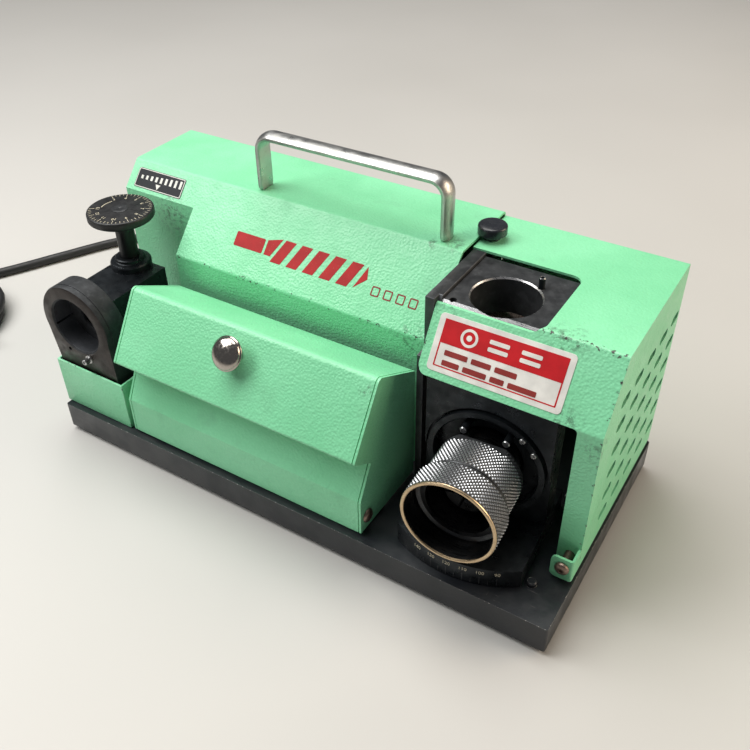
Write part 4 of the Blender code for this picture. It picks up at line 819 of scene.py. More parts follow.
# ------------------------------------------------------------------ base
def base():
    plate = prism(oblong(0, 320, 0, 151, 1.2, 4), "Z", FOOT, DECK)
    nub = turned([(0, 18), (2.6, 18), (2.6, 22), (2.1, 22.6), (0, 22.6)], 32, "Z", (302.5, 21, 0))
    part("base_plate", carve(plate, joins=[nub]), BLACK_BASE, "machine", "black_paint",
         0.45, BLACK_EDGE)
    spots = [(x, y) for y in (22, 129) for x in (22, 298)]
    for number, (x, y) in enumerate(spots, start=1):
        profile = [(0, 0.4), (6, 0.4), (6.4, 0), (10.2, 0), (11, 0.8), (11, 2.7), (0, 2.7)]
        part(f"foot_{number}", turned(profile, 48, "Z", (x, y, 0)), RUBBER, "machine", "black_rubber", 0.1)


# ------------------------------------------------------------------ housing
def housing_outline(front):
    slope = (142.6 - 106.6) / (99.4 - 66.2)
    bend = 142.6 - (99.4 - front) * slope
    outline = [(front, DECK + 0.3), (150.7, DECK + 0.3), (150.7, 142.6), (99.4, 142.6), (front, bend)]
    return outline, [0, 0, 2.6, 2.6, 2.6]


def housing_cavity(front, wall, start, end):
    outline, radii = housing_outline(front)
    inner = offset(outline, wall)
    inner[0], inner[1] = (inner[0][0], 15), (inner[1][0], 15)
    return prism(rounded(inner, [max(0, radius - wall) for radius in radii], 6), "X", start, end)


def housing():
    outline, radii = housing_outline(66.2)
    cuts = [
        block(-11, 48.1, 0, 86.3, 0, 148),
        housing_cavity(66.2, SHEET, 48.1 + SHEET, 223),
        housing_cavity(86.3, SHEET + 0.05, -6 + SHEET, 53),
        block(-11, -1, 103.8, 132.2, 96.8, 119.2),
        rod(6.2, 145, 157, 32, "Y", CORD_EXIT),
    ]
    solid = carve(prism(rounded(outline, radii, 10), "X", -6, 218), cuts)
    part("main_housing", solid, GREEN_HOUSING, "machine", "green_paint", 0.4, GREEN_EDGE_HIGHLIGHT_AND_CHIPS)


def screw(name, place, axis, radius, body, look=None, slot_angle=20.0):
    """Pan-head cross-slotted screw standing on `place`, its head pointing along `axis`."""
    height = radius * 0.62
    profile = [(0, -0.6), (radius, -0.6), (radius, height * 0.35), (radius * 0.86, height * 0.75),
               (radius * 0.55, height * 0.96), (0, height)]
    head = turned(profile, 32)
    width, reach = radius * 0.13, radius * 0.62
    cross = [block(-reach, reach, -width, width, height * 0.35, height + 2),
             block(-width, width, -reach, reach, height * 0.35, height + 2)]
    head = carve(head, [carve(cross[0], joins=[cross[1]])])
    turn = Vector(axis).to_track_quat("Z", "Y").to_matrix().to_4x4()
    where = Matrix.Translation(place) @ turn @ Matrix.Rotation(radians(slot_angle), 4, "Z")
    return piece(name, head, look or TURNED, body, (), "turned_steel", 0.08, place=where)


def housing_screws():
    spots = [((20, 150.7, 28), ALONG_Y), ((204, 150.7, 28), ALONG_Y), ((112, 150.7, 28), ALONG_Y),
             ((-6, 96, 28), (-1, 0, 0)), ((-6, 140, 28), (-1, 0, 0))]
    for number, (place, axis) in enumerate(spots, start=1):
        screw(f"housing_screw_{number}", place, axis, 3.2, "machine", slot_angle=17.0 * number)


def slope_frame(foot, head):
    """Matrix of a sloped panel: X along the machine, Y up the slope, Z out of it."""
    up = (head - foot).normalized()
    out = Vector((1, 0, 0)).cross(up)
    return Matrix.Translation(foot) @ Matrix((Vector((1, 0, 0)), up, out)).transposed().to_4x4()


HOUSING_SLOPE = slope_frame(SLOPE_FOOT, SLOPE_HEAD)
COVER_SLOPE = slope_frame(COVER_FOOT, COVER_HEAD)


def flat_shape(outline, low=-0.1, high=0.1):
    return prism(outline, "Z", low, high)


def slope_mark():
    """A twist drill drawn in red sign paint, and a row of small squares beside it."""
    low, high = 13.6, 27.6
    middle = (low + high) / 2
    shapes = [flat_shape(oblong(84, 104, middle - 4.2, middle + 4.2, 0.8)),
              flat_shape([(105.6, middle - 4.2), (110, middle - 4.2), (115, high), (105.6, middle + 4.2)])]
    for turn in range(5):
        x = 109.5 + turn * 11
        shapes.append(flat_shape([(x + 1.5, low), (x + 8.5, low), (x + 14.5, high), (x + 7.5, high)]))
    shapes.append(flat_shape([(165.8, low + 0.6), (172.6, middle), (170.8, high - 0.4)]))
    marking("red_mark", merged(shapes), RED_INK, "machine", HOUSING_SLOPE)
    small = []
    for index in range(4):
        x = 177 + index * 7.6
        frame_outline = flat_shape(oblong(x, x + 5, 13.2, 18.6, 0.8, 3))
        small.append(
            carve(frame_outline, [flat_shape(oblong(x + 0.7, x + 4.3, 13.9, 17.9, 0.4, 3), -1, 1)])
        )
    marking("small_mark", merged(small), DEEP_RED_INK, "machine", HOUSING_SLOPE)


def dial_label():
    x0, x1, y0, y1 = -0.6, 36.4, 32.0, 44.2
    plate = flat_shape(oblong(x0, x1, y0, y1, 1.0), -0.1, 0.28)
    marking("dial_label", plate, LABEL_BLACK, "machine", HOUSING_SLOPE, 0.08)
    rim = carve(flat_shape(oblong(x0 + 0.3, x1 - 0.3, y0 + 0.3, y1 - 0.3, 0.8), 0.1, 0.36),
                [flat_shape(oblong(x0 + 0.75, x1 - 0.75, y0 + 0.75, y1 - 0.75, 0.6), -1, 1)])
    marks = [rim, flat_shape([(15.6, 36.4), (17.5, 33.2), (19.4, 36.4)], 0.1, 0.38)]
    for index in range(9):
        x = 2.9 + index * 3.75
        height = 2.2 + 0.32 * index
        marks.append(
            flat_shape(
                [(x, 37.6), (x + 1.7, 37.6), (x + 1.7, 37.6 + height), (x, 37.6 + height)], 0.1, 0.38
            )
        )
    marking("dial_label_marks", merged(marks), WHITE_INK, "machine", HOUSING_SLOPE)


# ------------------------------------------------------------------ carry handle
def handle():
    left, right, foot, top, bend, depth = 84.8, 207.4, 142.9, 177.6, 11.0, 4.2
    path = [((left, foot + 0.8 * step), (1, 0)) for step in range(5)]
    path += [((left, z), (1, 0)) for z in (150, 158)]
    for x, z in arc(left + bend, top - bend, bend, 180, 90, 14):
        inward = (Vector((left + bend, top - bend)) - Vector((x, z))).normalized()
        path.append(((x, z), tuple(inward)))
    path += [((x, top), (0, -1)) for x in (120, 146.1, 172)]
    mirrored = [((left + right - x, z), (-dx, dz)) for (x, z), (dx, dz) in reversed(path[:-1])]
    path += [item for item in mirrored if item[0][0] > path[-1][0][0]]
    half = 5.7
    section = []
    for step in range(13):
        w = -half + 2 * half * step / 12
        section.append((w, 1.9 * (abs(w) / half) ** 2.2))
    section += [(half, 3.2), (half - 0.5, depth - 0.15), (half - 1.3, depth), (-half + 1.3, depth),
                (-half + 0.5, depth - 0.15), (-half, 3.2)]
    mesh = bmesh.new()
    rows = []
    for index, ((x, z), (dx, dz)) in enumerate(path):
        tip = min(index, len(path) - 1 - index)
        narrow = (0.78, 0.90, 0.965, 1.0)[min(tip, 3)]
        rows.append([mesh.verts.new((x + dx * d, 107.2 + w * narrow, z + dz * d)) for w, d in section])
    for before, after in zip(rows, rows[1:]):
        for step in range(len(section)):
            nxt = (step + 1) % len(section)
            mesh.faces.new((before[step], before[nxt], after[nxt], after[step]))
    mesh.faces.new(rows[0])
    mesh.faces.new(list(reversed(rows[-1])))
    bmesh.ops.recalc_face_normals(mesh, faces=mesh.faces)
    part("carry_handle", mesh, SATIN, "machine", "satin_steel", crease=50)


# ------------------------------------------------------------------ right cover
def cover():
    bottom, low_z, top = DECK + 1.9, 108.3, 140.2
    outline = [(39.8, bottom), (150.7, bottom), (150.7, top), (60.1, top), (39.8, low_z)]
    radii = [0, 0, 1.8, 1.8, 1.8]
    inner = offset(outline, SHEET)
    inner[0], inner[1] = (inner[0][0], 15), (inner[1][0], 15)
    left, low, high = 213.6, 15, 145.2
    window = [(left, low), (307, low), (307, low_z), (225.2, low_z), (225.2, high), (left, high)]
    cutout = [(left, 58.5), (279, 58.5), (279, 110), (left, 110)]
    vents = []
    for column in range(5):
        for row in range(6):
            y, z = 105 + (column - 2) * 18.7, DECK + 54.7 + (row - 2.5) * 14.7
            slot = oblong(y - 6.1, y + 6.1, z - 2.5, z + 2.5, 2.48, 5)
            vents.append(prism(slot, "X", 314.9, 322.9))
    cuts = [
        prism(rounded(inner, [max(0, r - SHEET) for r in radii], 5), "X", left, 318.9 - SHEET),
        prism(rounded(window, [0, 0, 2, 5, 0, 0], 6), "Y", 34.8, 63.1),
        prism(rounded(cutout, [0, 6, 6, 0], 8), "Z", 137.7, high),
        merged(vents),
        rod(2.8, 135.2, 145.2, 24, "Z", COVER_KNOB),
        rod(2.6, 26, 43.8, 24, "Y", HINGE),
        rod(2.6, 146.7, 154.7, 24, "Y", HINGE),
    ]
    tongue = [(318.9, 43.8), (317.6, 43.8), (317.6, 31.3), (307.5, 31.3), (307.5, 30), (318.9, 30)]
    lug = prism(rounded(tongue, [0, 0, 0, 0, 0, 1.6], 5), "Z", bottom, bottom + 14)
    corners = [carve(block(304.5, 310.5, 28, 33, low, low + 6), [rod(3, 26, 35, 32, "Y", (310.5, middle))])
               for low, middle in ((bottom + 11, bottom + 11), (bottom - 3, bottom + 3))]
    lug = carve(lug, [merged(corners)])
    solid = carve(prism(rounded(outline, radii, 8), "X", 218.6, 318.9), cuts[:4])
    solid = carve(solid, cuts[4:], [lug])
    part("right_cover", solid, GREEN_COVER, "cover", "green_paint", 0.32, GREEN_EDGE_HIGHLIGHT_AND_CHIPS)


def cover_sign():
    """Enamelled plate on the cover's slope: a grinding wheel in its guard and plain bars, no words."""
    x0, x1, y0, y1 = 229.5, 297.5, 3.6, 31.6
    split = 17.6
    marking(
        "sign_plate", flat_shape(oblong(x0, x1, y0, y1, 2.2), -0.1, 0.3), SIGN_WHITE, "cover", COVER_SLOPE,
        0.1,
    )
    red = flat_shape(oblong(x0 + 3, x1 - 3, split, y1 - 2.4, 0.2, 2), 0.1, 0.4)
    frame_line = carve(flat_shape(oblong(x0 + 3, x1 - 3, y0 + 2.6, y1 - 2.4, 0.4, 2), 0.1, 0.37),
                       [flat_shape(oblong(x0 + 3.7, x1 - 3.7, y0 + 3.2, y1 - 3.1, 0.2, 2), -1, 1)])
    marking("sign_red", merged([red, frame_line]), SIGN_RED, "cover", COVER_SLOPE)
    middle = (split + y1 - 2.4) / 2
    centre = (x0 + 17, middle)
    wheel = carve(flat_shape(arc(*centre, 4.4, 0, 350, 35), 0.2, 0.5),
                  [flat_shape(arc(*centre, 3.1, 0, 350, 35), -1, 1)])
    white = [wheel, flat_shape(arc(*centre, 1.4, 0, 345, 23), 0.2, 0.5)]
    for start, end in ((x0 + 27, x0 + 37), (x0 + 43, x0 + 53)):
        white.append(flat_shape(oblong(start, end, middle - 2.8, middle - 0.8, 0.6, 3), 0.2, 0.5))
        white.append(flat_shape(oblong(start, end, middle + 0.8, middle + 2.8, 0.6, 3), 0.2, 0.5))
    marking("sign_white_marks", merged(white), SIGN_WHITE, "cover", COVER_SLOPE)
    bars = []
    for row, spans in (
        (13.6, ((7, 19), (21, 31), (33, 44))), (8.7, ((7, 16), (18, 30), (32, 39), (41, 55)))
    ):
        for start, end in spans:
            bars.append(flat_shape(oblong(x0 + start, x0 + end, row - 1.3, row + 1.3, 0.5, 3), 0.2, 0.42))
    marking("sign_bars", merged(bars), DEEP_RED_INK, "cover", COVER_SLOPE)


def cover_knob():
    under, top = 140.5, 149.0
    profile = [
        (0, 127), (2, 127), (2.2, 127.4), (2.2, under), (4.5, under), (4.5, 143.2), (7.3, 143.2),
        (7.8, 143.7),
    ]
    profile += [
        (7.8, 147.4), (7.7, 147.9), (7.35, 148.35), (6.8, 148.6), (5.6, 148.8), (3.4, top - 0.05), (0, top)
    ]
    part("cover_knob", turned(profile, SIDES, "Z", (*COVER_KNOB, 0)), BLACK_KNOB, "cover_knob",
         "black_plastic", crease=40)


def hinge_rod():
    front, back = 29.7, 151.0
    profile = [(0, front - 2.3), (1.4, front - 2.28), (2.6, front - 1.95), (3.4, front - 1.3),
               (3.7, front - 0.5),
               (3.7, front), (2.3, front), (2.3, back), (3.7, back), (3.7, back + 0.5), (3.4, back + 1.3),
               (2.6, back + 1.95), (1.4, back + 2.28), (0, back + 2.3)]
    rod_mesh = turned(profile, 48, "Y", (HINGE[0], 0, HINGE[1]))
    sockets = [prism(arc(*HINGE, 1.3, *HEX), "Y", start, end)
               for start, end in ((front - 5, front - 1.1), (back + 1.1, back + 5))]
    part("hinge_rod", carve(rod_mesh, [merged(sockets)]), RUSTY, "machine", "dark_steel", 0.1)


# ------------------------------------------------------------------ top port
def top_port():
    top, bottom = 138.4, 118.4
    side = [(58.9, bottom), (107.4, bottom), (107.4, top), (62.1, top), (58.9, top - 3.2)]
    bore = turned([(0, bottom - 1), (17.2, bottom - 1), (17.2, top - 0.7), (17.95, top + 0.05),
                   (17.95, top + 1), (0, top + 1)], 112, "Z", (*TOP_BORE, 0))
    small = rod(1.8, top - 6, top + 1, 24, "Z", (231.5, 63.5))
    seat = rod(1.75, top - 9, top + 1, 24, "Z", THINNING_PIN)

    def on_rim(centre, normal):
        return centre.z > top - 0.72 and 17.0 < hypot(
            centre.x - TOP_BORE[0], centre.y - TOP_BORE[1]
        ) < 18.1 and normal.z < 0.99

    part(
        "thinning_port", carve(prism(side, "X", 227.2, 284), [bore, merged([small, seat])]), CAST,
        "machine", "black_casting", 0.3, CAST_EDGE, regions=[(BORE_EDGE, on_rim)],
    )
    pin = [
        (0.85, top - 8), (1.6, top - 8), (1.6, top + 5.5), (1.3, top + 6), (0.95, top + 6),
        (0.85, top + 5.8),
    ]
    part("thinning_pin", turned(pin, 40, "Z", (*THINNING_PIN, 0)), PORT_BLACK, "machine", "black_casting",
         regions=[(BORE_EDGE, lambda centre, normal: centre.z > top + 5.6)])


# ------------------------------------------------------------------ front port
def port_swivel():
    half, front, back, top = 33.5, -20, -8, 106.5
    edge = atan2(-sqrt(SECTOR_RADIUS**2 - half**2), half) * 180 / pi
    outline = [(half, 9), (-half, 9)] + arc(0, 0, SECTOR_RADIUS, -180 - edge, edge, 56)
    sector = prism(outline, "Z", DECK + 0.3, DECK + 12)
    half -= 0.25
    upright = block(-half, half, front, back, DECK + 10, top)
    half -= 0.25
    spandrel = [(half, top - 0.3), (-half, top - 0.3), (-half, CHUCK_Z)]
    spandrel += arc(0, CHUCK_Z, half - 0.5, 180, 0, 64) + [(half, CHUCK_Z)]
    lip = rod(31, front - 4, front + 1, SIDES, "Y", (0, CHUCK_Z))
    tube = rod(22, back - 2, 0, SIDES, "Y", (0, CHUCK_Z))
    bore = [(0, front - 10), (28.1, front - 10), (28.1, front - 4.05), (27.4, front - 3.3),
            (27.4, front + 3), (18.0, front + 3), (17.2, front + 3.8), (17.2, 20), (0, 20)]
    holes = [rod(2.2, front + 1, back - 2, 24, "Y", (x, CAM_PIN_Z)) for _, x in CAM_PINS]
    bore = turned(bore, SIDES, "Y", (0, 0, CHUCK_Z))
    solid = carve(sector, [bore, rod(4.3, 15, DECK + 16, 32, "Z"), merged(holes)],
                  [upright, prism(spandrel, "Y", front - 2.5, front + 1), lip, tube])
    part("port_swivel", solid, PORT_BLACK, "front_port", "dark_steel", 0.35, PORT_EDGE,
         place=PORT)
    pin = [(0, -27.7), (1.5, -27.7), (1.9, -27.2), (1.9, -10.5), (0, -10.5)]
    for side, x in CAM_PINS:
        mesh = turned(pin, 32, "Y", (x, 0, CAM_PIN_Z))
        part(f"cam_pin_{side}", mesh, PORT_BLACK, "front_port", "dark_steel", place=PORT,
             regions=[(BORE_EDGE, lambda centre, normal: (PORT.inverted() @ centre).y < -27.1)])


def on_sector(angle, height, lift):
    """Matrix on the sector's curved front, `angle` degrees to the right of its middle."""
    turn = radians(angle)
    place = Vector((SECTOR_RADIUS * sin(turn), -SECTOR_RADIUS * cos(turn), height))
    out = Vector((sin(turn), -cos(turn), 0))
    right = Vector((cos(turn), sin(turn), 0))
    axes = Matrix((right, Vector((0, 0, 1)), out)).transposed().to_4x4()
    return PORT @ Matrix.Translation(place + out * lift) @ axes


def point_angle_scale():
    """Point angles of the drill, in degrees, with their marks on the sector's front."""
    figures, marks = [], []
    for value in range(90, 141, 10):
        angle = 22 - (value - 90) * 0.8
        figure = lettering(str(value), 3.0, 0.16)
        figure.transform(on_sector(angle, 29.0, 0.06))
        figures.append(figure)
        mark = block(-0.16, 0.16, -2.6, 2.6, -0.08, 0.1)
        mark.transform(on_sector(angle, 23.6, 0.0))
        marks.append(mark)
    for value in range(95, 140, 10):
        mark = block(-0.12, 0.12, -1.6, 1.6, -0.08, 0.1)
        mark.transform(on_sector(22 - (value - 90) * 0.8, 22.6, 0.0))
        marks.append(mark)
    piece("scale_figures", merged(figures), CREAM_INK, "front_port")
    piece("scale_marks", merged(marks), CAST_EDGE, "front_port")


def lip_screws():
    for number, angle in enumerate((52, 34), start=1):
        x, z = 29.2 * cos(radians(angle)), CHUCK_Z + 29.2 * sin(radians(angle))
        head = turned(
            [(0, -23.8), (1.55, -23.8), (1.55, -25.0), (1.3, -25.3), (0, -25.3)], 24, "Y", (x, 0, z)
        )
        socket = prism(arc(x, z, 0.75, *HEX), "Y", -26, -24.6)
        piece(
            f"lip_screw_{number}", carve(head, [socket]), TURNED, "front_port", (), "turned_steel", 0.06,
            place=PORT,
        )


def swivel_pivot():
    profile = [(0, 9), (4, 9), (4, 32.3), (7.5, 32.3), (7.5, 35.9), (6.9, 36.5), (0, 36.5)]
    head = carve(turned(profile, 48, "Z", (*SWIVEL, 0)), [prism(arc(*SWIVEL, 3.6, *HEX), "Z", 33.5, 38)])
    part("swivel_pivot", head, TURNED, "machine", "dark_steel", 0.12)


# ------------------------------------------------------------------ chuck
def knurled(profile, axis_z, rough_from, rough_to, rough_radius, flat=None):
    """Ring of revolution about the port's Y axis whose outside is cut with diamond knurling
    between two depths. `profile` is the closed outline, with None where the knurling goes."""
    rows = []
    for item in profile:
        if item is not None:
            rows.append([(item[0], item[1])] * KNURL_COLUMNS)
            continue
        count = max(4, 2 * round(abs(rough_to - rough_from) / 2.2))
        for step in range(count + 1):
            depth = rough_from + (rough_to - rough_from) * step / count
            row = []
            for column in range(KNURL_COLUMNS):
                high = (column + step) % 2 == 1 and 0 < step < count
                row.append((rough_radius if high else rough_radius - KNURL_DEPTH, depth))
            rows.append(row)
    mesh = bmesh.new()
    grid = []
    for row in rows:
        line = []
        for column, (radius, depth) in enumerate(row):
            angle = 2 * pi * column / KNURL_COLUMNS
            x, z = radius * cos(angle), radius * sin(angle)
            if flat and flat[0] <= -depth <= flat[1]:
                z = min(z, flat[2])
            line.append(mesh.verts.new((x, depth, axis_z + z)))
        grid.append(line)
    radii = [[radius for radius, _ in row] for row in rows]
    for index in range(len(grid)):
        low, high = grid[index], grid[(index + 1) % len(grid)]
        low_radii, high_radii = radii[index], radii[(index + 1) % len(grid)]
        for column in range(KNURL_COLUMNS):
            after = (column + 1) % KNURL_COLUMNS
            quad = (low[column], low[after], high[after], high[column])
            if abs(low_radii[column] - low_radii[after]) < 0.01 and abs(
                high_radii[column] - high_radii[after]
            ) < 0.01:
                mesh.faces.new(quad)
            elif low_radii[column] + high_radii[after] < low_radii[after] + high_radii[column] - 0.01:
                mesh.faces.new((quad[0], quad[1], quad[2]))
                mesh.faces.new((quad[0], quad[2], quad[3]))
            else:
                mesh.faces.new((quad[0], quad[1], quad[3]))
                mesh.faces.new((quad[1], quad[2], quad[3]))
    bmesh.ops.recalc_face_normals(mesh, faces=mesh.faces)
    return mesh


def in_port(test):
    """A face test in the port's own frame: distance from the chuck's axis, and place along it."""
    inverse = PORT.inverted()

    def wrapped(centre, normal):
        local = inverse @ centre
        return test(hypot(local.x, local.z - CHUCK_Z), local.y)

    return wrapped


def chuck():
    sleeve = [(13.4, 3), (16.3, 3), (16.9, 2), (16.9, -27.7), (13.4, -27.7)]
    part(
        "chuck_sleeve", turned(sleeve, SIDES, "Y", (0, 0, CHUCK_Z)), SHADED_DARK_TURNED, "chuck_guide",
        "dark_steel", 0.15, place=PORT,
    )
    body = [(13.4, -28), (21.4, -28), (21.8, -28.4), None, (21.7, -49.5), (20.6, -50.7), (20.1, -50.7),
            (20.1, -54.7), (19.8, -55), (17.4, -55), (15.4, -44.7), (13.4, -40.7)]
    solid = knurled(body, CHUCK_Z, -28.8, -49.3, 22.4, (27, 32.6, 18))
    # the bore and the spigot under the nut take the near-black steel: painted shade
    smooth = in_port(lambda reach, along: reach < 21.2 or along < -49.7)
    flat = in_port(lambda reach, along: along > -32.4)
    part("chuck_body", solid, KNURL_BODY, "chuck", "knurled_steel", place=PORT, crease=18,
         regions=[(SHADED_DARK_TURNED, smooth), (CAST_GREY, flat)])
    nut = [(20.4, -51), (22.7, -51), (24.0, -52.3), None, (24.3, -67.5), (24.25, -68.0), (23.9, -68.35),
           (23.4, -68.5), (22.95, -68.4), (22.55, -68.1), (22.4, -67.6), (22.4, -55), (20.4, -54)]
    solid = knurled(nut, CHUCK_Z, -52.6, -67.2, 24.6)
    rim = in_port(lambda reach, along: along < -67.35 and reach > 22.3)
    # the nut's bore and rear chamfer take the near-black steel: painted shade inside it and at the joint
    # with the body
    inside = in_port(lambda reach, along: reach < 22.5 or (along > -52.4 and reach < 24.2))
    part("chuck_nut", solid, KNURL_NUT, "chuck_nut", "knurled_steel", place=PORT, crease=18,
         regions=[(SHADED_DARK_TURNED, inside), (BRASSY, rim)])
    collet = [
        (5, 2), (10.1, 2), (13.1, -6), (13.1, -39.7), (11.4, -46.3), (10.9, -46.7), (6, -46.7), (5, -45.7)
    ]
    slots = []
    for number in range(3):
        slit = block(-0.5, 0.5, -50, -14, -16, 16)
        slit.transform(Matrix.Rotation(radians(60 * number + 15), 4, "Y"))
        slit.transform(Matrix.Translation((0, 0, CHUCK_Z)))
        slots.append(slit)
    solid = carve(turned(collet, 72, "Y", (0, 0, CHUCK_Z)), slots)
    part("collet", solid, SHADED_DARK_TURNED, "chuck", "turned_steel", 0.12, place=PORT)


# ------------------------------------------------------------------ wheel
def grinding_wheel():
    wheel = [(12.4, 228), (38, 228), (39, 229), (39, 237), (27, 261), (21, 261), (21, 247), (12.4, 247)]
    part("grinding_wheel", turned(wheel, SIDES, "X", MOTOR), GRIT, "spindle", "grit", 0.4)
    hub = [(6.3, 225), (16, 225), (16, 227.7), (12, 227.7), (12, 246), (6.3, 246)]
    part("wheel_hub", turned(hub, 64, "X", MOTOR), TURNED, "spindle", "turned_steel", 0.25)
    refined("wheel_nut", TURNED, "spindle", "turned_steel", 0.4)


# ------------------------------------------------------------------ collet door
DOOR_OUTLINE = [(3.6, 22.2), (57.7, 22.2), (57.7, 92.7), (24, 111), (-0.5, 73.9), (14.5, 63.8), (3.9, 44.4)]


def door():
    radii = [0, 0, 0, 3.2, 1.4, 1.2, 1.6]
    inner = offset(DOOR_OUTLINE, SHEET)
    roof = 92.7 - (70 - 57.7) * (111 - 92.7) / (57.7 - 24)
    inner[0], inner[1], inner[2] = (inner[0][0], 15), (70, 15), (70, roof - SHEET * 1.14)
    cavity = prism(
        rounded(inner, [0, 0, 0, 1.9, 0.3, 2.4, 0.4], 6), "X", DOOR_LEFT + SHEET, DOOR_RIGHT - SHEET
    )
    solid = prism(rounded(DOOR_OUTLINE, radii, 10), "X", DOOR_LEFT, DOOR_RIGHT)
    outside = offset(DOOR_OUTLINE, -3)
    outside[0], outside[1], outside[2] = (outside[0][0], 10), (75, 10), (75, outside[2][1] - 5)
    floor_line = offset(DOOR_OUTLINE, 1.0)
    floor_line[0], floor_line[1] = (floor_line[0][0], 5), (80, 5)
    floor_line[2] = (80, roof - 6.5)
    core = rounded(floor_line, [0, 0, 0, 2.2, 0.5, 2, 0.7], 6)
    seams = [carve(prism(outside, "X", start, start + 0.5), [prism(core, "X", start - 1, start + 1.6)])
             for start in (213.0, 56.9)]
    holes = merged([rod(2.4, start, start + 10, 24, "X", DOOR_PIVOT) for start in (50.6, 209.8)])
    solid = carve(solid, [cavity, holes, merged(seams)])
    part("collet_door", solid, GREEN_DOOR, "door", "green_paint", 0.26, GREEN_EDGE_HIGHLIGHT_AND_CHIPS)


def door_knob():
    profile = [(0, 0.3), (4.8, 0.3), (4.6, 0.9), (3.9, 1.8), (3.8, 3.2), (4.4, 4.4), (6.6, 5.4),
               (8.7, 6.2), (9.25, 6.9), (9.3, 7.4), (9.1, 7.85), (8.7, 8.0), (8.5, 8.25)]
    profile += [(8.5 * cos(radians(a)), 8.25 + 2.75 * sin(radians(a))) for a in range(8, 88, 8)]
    profile += [(0, 11)]
    low, top = Vector((-0.5, 73.9)), Vector((24, 111))
    along = (top - low).normalized()
    foot = low + along * 30
    outward = Vector((0, -along.y, along.x))
    turn = outward.to_track_quat("Z", "X").to_matrix().to_4x4()
    place = Matrix.Translation((132.5, foot.x, foot.y)) @ turn
    part("door_knob", turned(profile, SIDES), CHROME, "door", "chrome", place=place, crease=50)


def door_screws():
    y, z = DOOR_PIVOT
    for side, face, inward in (("left", DOOR_LEFT, 1), ("right", DOOR_RIGHT, -1)):
        profile = [
            (0, -2.3), (1.6, -2.25), (2.9, -1.85), (3.7, -1.2), (4, -0.5), (4, -0.3), (2, -0.3), (2, 8),
            (0, 8),
        ]
        mesh = turned(
            [(radius, height * inward) for radius, height in profile], 48, "X", (face, *DOOR_PIVOT)
        )
        slot = block(*sorted((face - 6 * inward, face - 1.2 * inward)), y - 5, y + 5, z - 0.45, z + 0.45)
        turn = Matrix.Translation((0, y, z)) @ Matrix.Rotation(radians(35), 4, "X")
        slot.transform(turn @ Matrix.Translation((0, -y, -z)))
        part(f"door_screw_{side}", carve(mesh, [slot]), RUSTY, "machine", "dark_steel", 0.1)


# ------------------------------------------------------------------ setting gauge
def setting_gauge():
    refined("gauge_cover", GREEN_DOOR, "machine", "green_paint", 0.5, GREEN_EDGE_HIGHLIGHT_AND_CHIPS)
    x, z, front, back = RING_X, RING_Z, 5.6, 20.4
    outer, bore = 25.6, 17.4
    skirt = [(0.9, 20.3), (46.9, 20.3), (46.9, 54), (x + outer - 0.8, z), (x - outer + 0.8, z), (0.9, 54)]
    ring = [(0, front), (outer - 1.6, front), (outer - 0.5, front + 0.5), (outer, front + 1.6),
            (outer, front + 3.1), (
                outer - 0.4, front + 3.3
            ), (outer - 0.4, front + 3.8), (outer, front + 4.0),
            (outer, back - 0.6), (outer - 0.6, back), (0, back)]
    inside = [(0, front - 5), (bore + 0.9, front - 5), (bore + 0.9, front), (bore, front + 0.9),
              (bore, back + 5), (0, back + 5)]
    solid = carve(turned(ring, 128, "Y", (x, 0, z)), [turned(inside, SIDES, "Y", (x, 0, z)),
                  rod(1.2, front - 2, front + 6, 20, "Y", (x - 9.6, z - 18.6))],
                  [prism(skirt, "Y", front + 0.25, back - 0.8)])
    web = turned([(9, back - 1.6), (bore + 0.4, back - 1.6), (bore + 0.4, back - 0.3),
                  (9, back - 0.3)], SIDES, "Y",
                 (x, 0, z))
    solid = merged([solid, web])

    def face(centre, normal):
        return centre.y < front + 0.3 and normal.y < -0.9

    def in_bore(centre, normal):
        return hypot(centre.x - x, centre.z - z) < bore + 0.2 and abs(normal.y) < 0.5

    part("setting_socket", solid, CAST_GREY, "machine", "black_casting", 0.2, CAST_EDGE,
         regions=[(CAST_FACE, face), (SOCKET_BORE, in_bore)])
    boss = [(0, 94), (12.2, 94), (12.2, 98.3), (11.6, 99.2), (10.6, 99.6), (9.3, 99.6), (8.9, 99.9),
            (8.7, 101.4), (8.1, 101.9), (0, 101.9)]
    holes = [rod(6.3, 15, 52, 32, "Y", (x, z)), rod(5.8, 81, 106, 48, "Z", DIAL)]
    solid = carve(block(6.4, 37, 20.7, 66.2, 20.3, 95), holes,
                  [turned(boss, 72, "Z", (*DIAL, 0))])
    part("gauge_block", solid, PORT_BLACK, "machine", "black_casting", 0.3, PORT_EDGE)


def gauge_lock():
    lock = [(0, 30), (4.2, 30), (4.2, 38.4), (3.6, 39), (2.6, 39), (2.6, 41.6), (2.2, 42), (0, 42)]
    piece("gauge_lock", turned(lock, 40, "X", (0, 43, 89.5)), PORT_EDGE, "machine", (), "dark_steel")


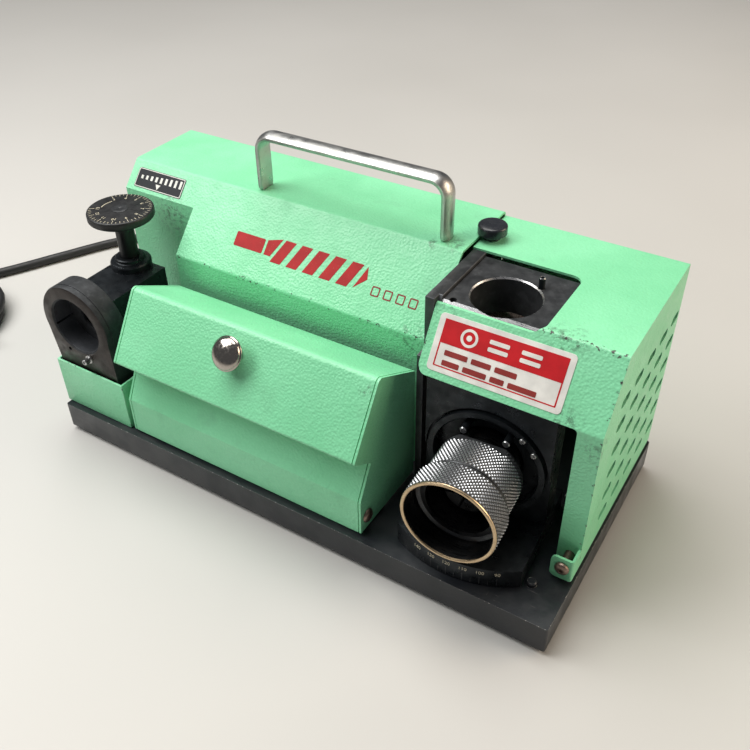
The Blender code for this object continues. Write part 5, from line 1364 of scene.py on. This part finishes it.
def setting_dial():
    dial = [(0, 82), (5.3, 82), (5.5, 82.3), (5.5, 125.9), (6.2, 126.7), (17.6, 126.7), (19.0, 127.6),
            (19.3, 128.2), (19.3, 131.4), (19.1, 131.9), (18.6, 132.25), (18.1, 132.3), (0, 132.3)]
    part("setting_dial", turned(dial, SIDES, "Z", (*DIAL, 0)), BLACK_DIAL, "dial", "dial_black", crease=40)
    hub = [(0, 132.2), (4.8, 132.2), (4.8, 132.5), (4.5, 132.65), (1.1, 132.65), (0.7, 132.4), (0, 132.4)]
    piece("dial_hub", turned(hub, 48, "Z", (*DIAL, 0)), CAST, "dial", (), "dial_black", crease=40)
    marks = []
    for index in range(11):
        angle = radians(210 + 30 * index)
        where = Matrix.Translation(
            (DIAL[0] + 12.9 * cos(angle), DIAL[1] + 12.9 * sin(angle), DIAL_FACE + 0.04)
        )
        where = where @ Matrix.Rotation(angle - pi / 2, 4, "Z")
        figure = lettering(str(13 - index), 3.0, 0.1)
        figure.transform(where)
        marks.append(figure)
    for index in range(41):
        angle = radians(210 + 7.5 * index)
        start = (14.9, 16.6, 16.0, 16.6)[index % 4]
        mark = block(start, 18.1, -0.13, 0.13, 132.28, 132.38)
        mark.transform(Matrix.Translation((*DIAL, 0)) @ Matrix.Rotation(angle, 4, "Z"))
        marks.append(mark)
    outer, inner = arc(*DIAL, 11.6, 158, 202, 16), arc(*DIAL, 11.15, 202, 158, 16)
    marks.append(prism(outer + inner, "Z", 132.28, 132.4))
    piece("dial_figures", merged(marks), CREAM_INK, "dial")


def depth_stop():
    stop = [(0, 31), (2.6, 31), (3.2, 31.4), (4.4, 32.4), (6, 33), (6, 48), (0, 48)]
    part(
        "depth_stop", turned(stop, 48, "Y", (RING_X, 0, RING_Z)), TURNED, "depth_stop", "turned_steel", 0.15
    )


def socket_screw():
    front, angle = 5.6, radians(-75)
    sx, sz = RING_X + 21.5 * cos(angle), RING_Z + 21.5 * sin(angle)
    head = [(0, front - 4.4), (1.4, front - 4.4), (1.8, front - 4.0), (1.8, front - 0.6),
            (2.6, front - 0.6), (2.6, front + 0.6), (0, front + 0.6)]
    socket = prism(arc(sx, sz, 0.8, 10, 310, 5), "Y", front - 6, front - 3.2)
    head = carve(turned(head, 32, "Y", (sx, 0, sz)), [socket])
    part("socket_screw", head, TURNED, "machine", "dark_steel", 0.1)


# ------------------------------------------------------------------ switch and the rest
def switch():
    refined("power_switch", BLACK_KNOB, "machine", "black_plastic", 0.6)
    refined("switch_rocker", BLACK_KNOB, "rocker", "black_plastic", 0.5)


def carried_over():
    refined("bulkhead", CAST, "machine", "black_casting", 0.35, CAST_EDGE)
    refined("knob_bracket", TURNED, "machine", "turned_steel", 0.2)
    for node in ("hinge_bracket_front", "hinge_bracket_rear", "door_bracket_left", "door_bracket_right"):
        refined(node, TURNED, "machine", "turned_steel", 0.25)
    refined("collet_rack", BLACK_BASE, "machine", "black_paint", 0.4, BLACK_EDGE)
    refined("motor_cradle", CAST, "machine", "black_casting", 0.5, CAST_EDGE)
    plain = {
        "motor_shell": CAST, "motor_end_left": CAST, "motor_end_right": CAST, "stator_core": TURNED,
        "bearing_left": TURNED, "bearing_right": TURNED, "rotor_shaft": TURNED, "cooling_fan": BLACK_DIAL,
        "run_capacitor": ALUMINIUM, "spare_collet_1": TURNED, "spare_collet_2": TURNED,
        "handle_screw_left": TURNED, "handle_screw_right": TURNED,
    }
    for node, look in plain.items():
        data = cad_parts[node].data
        data.materials.clear()
        data.materials.append(look)


base()
housing()
housing_screws()
slope_mark()
dial_label()
handle()
cover()
cover_sign()
cover_knob()
hinge_rod()
top_port()
port_swivel()
point_angle_scale()
lip_screws()
swivel_pivot()
chuck()
grinding_wheel()
door()
door_knob()
door_screws()
setting_gauge()
gauge_lock()
setting_dial()
depth_stop()
socket_screw()
switch()
carried_over()
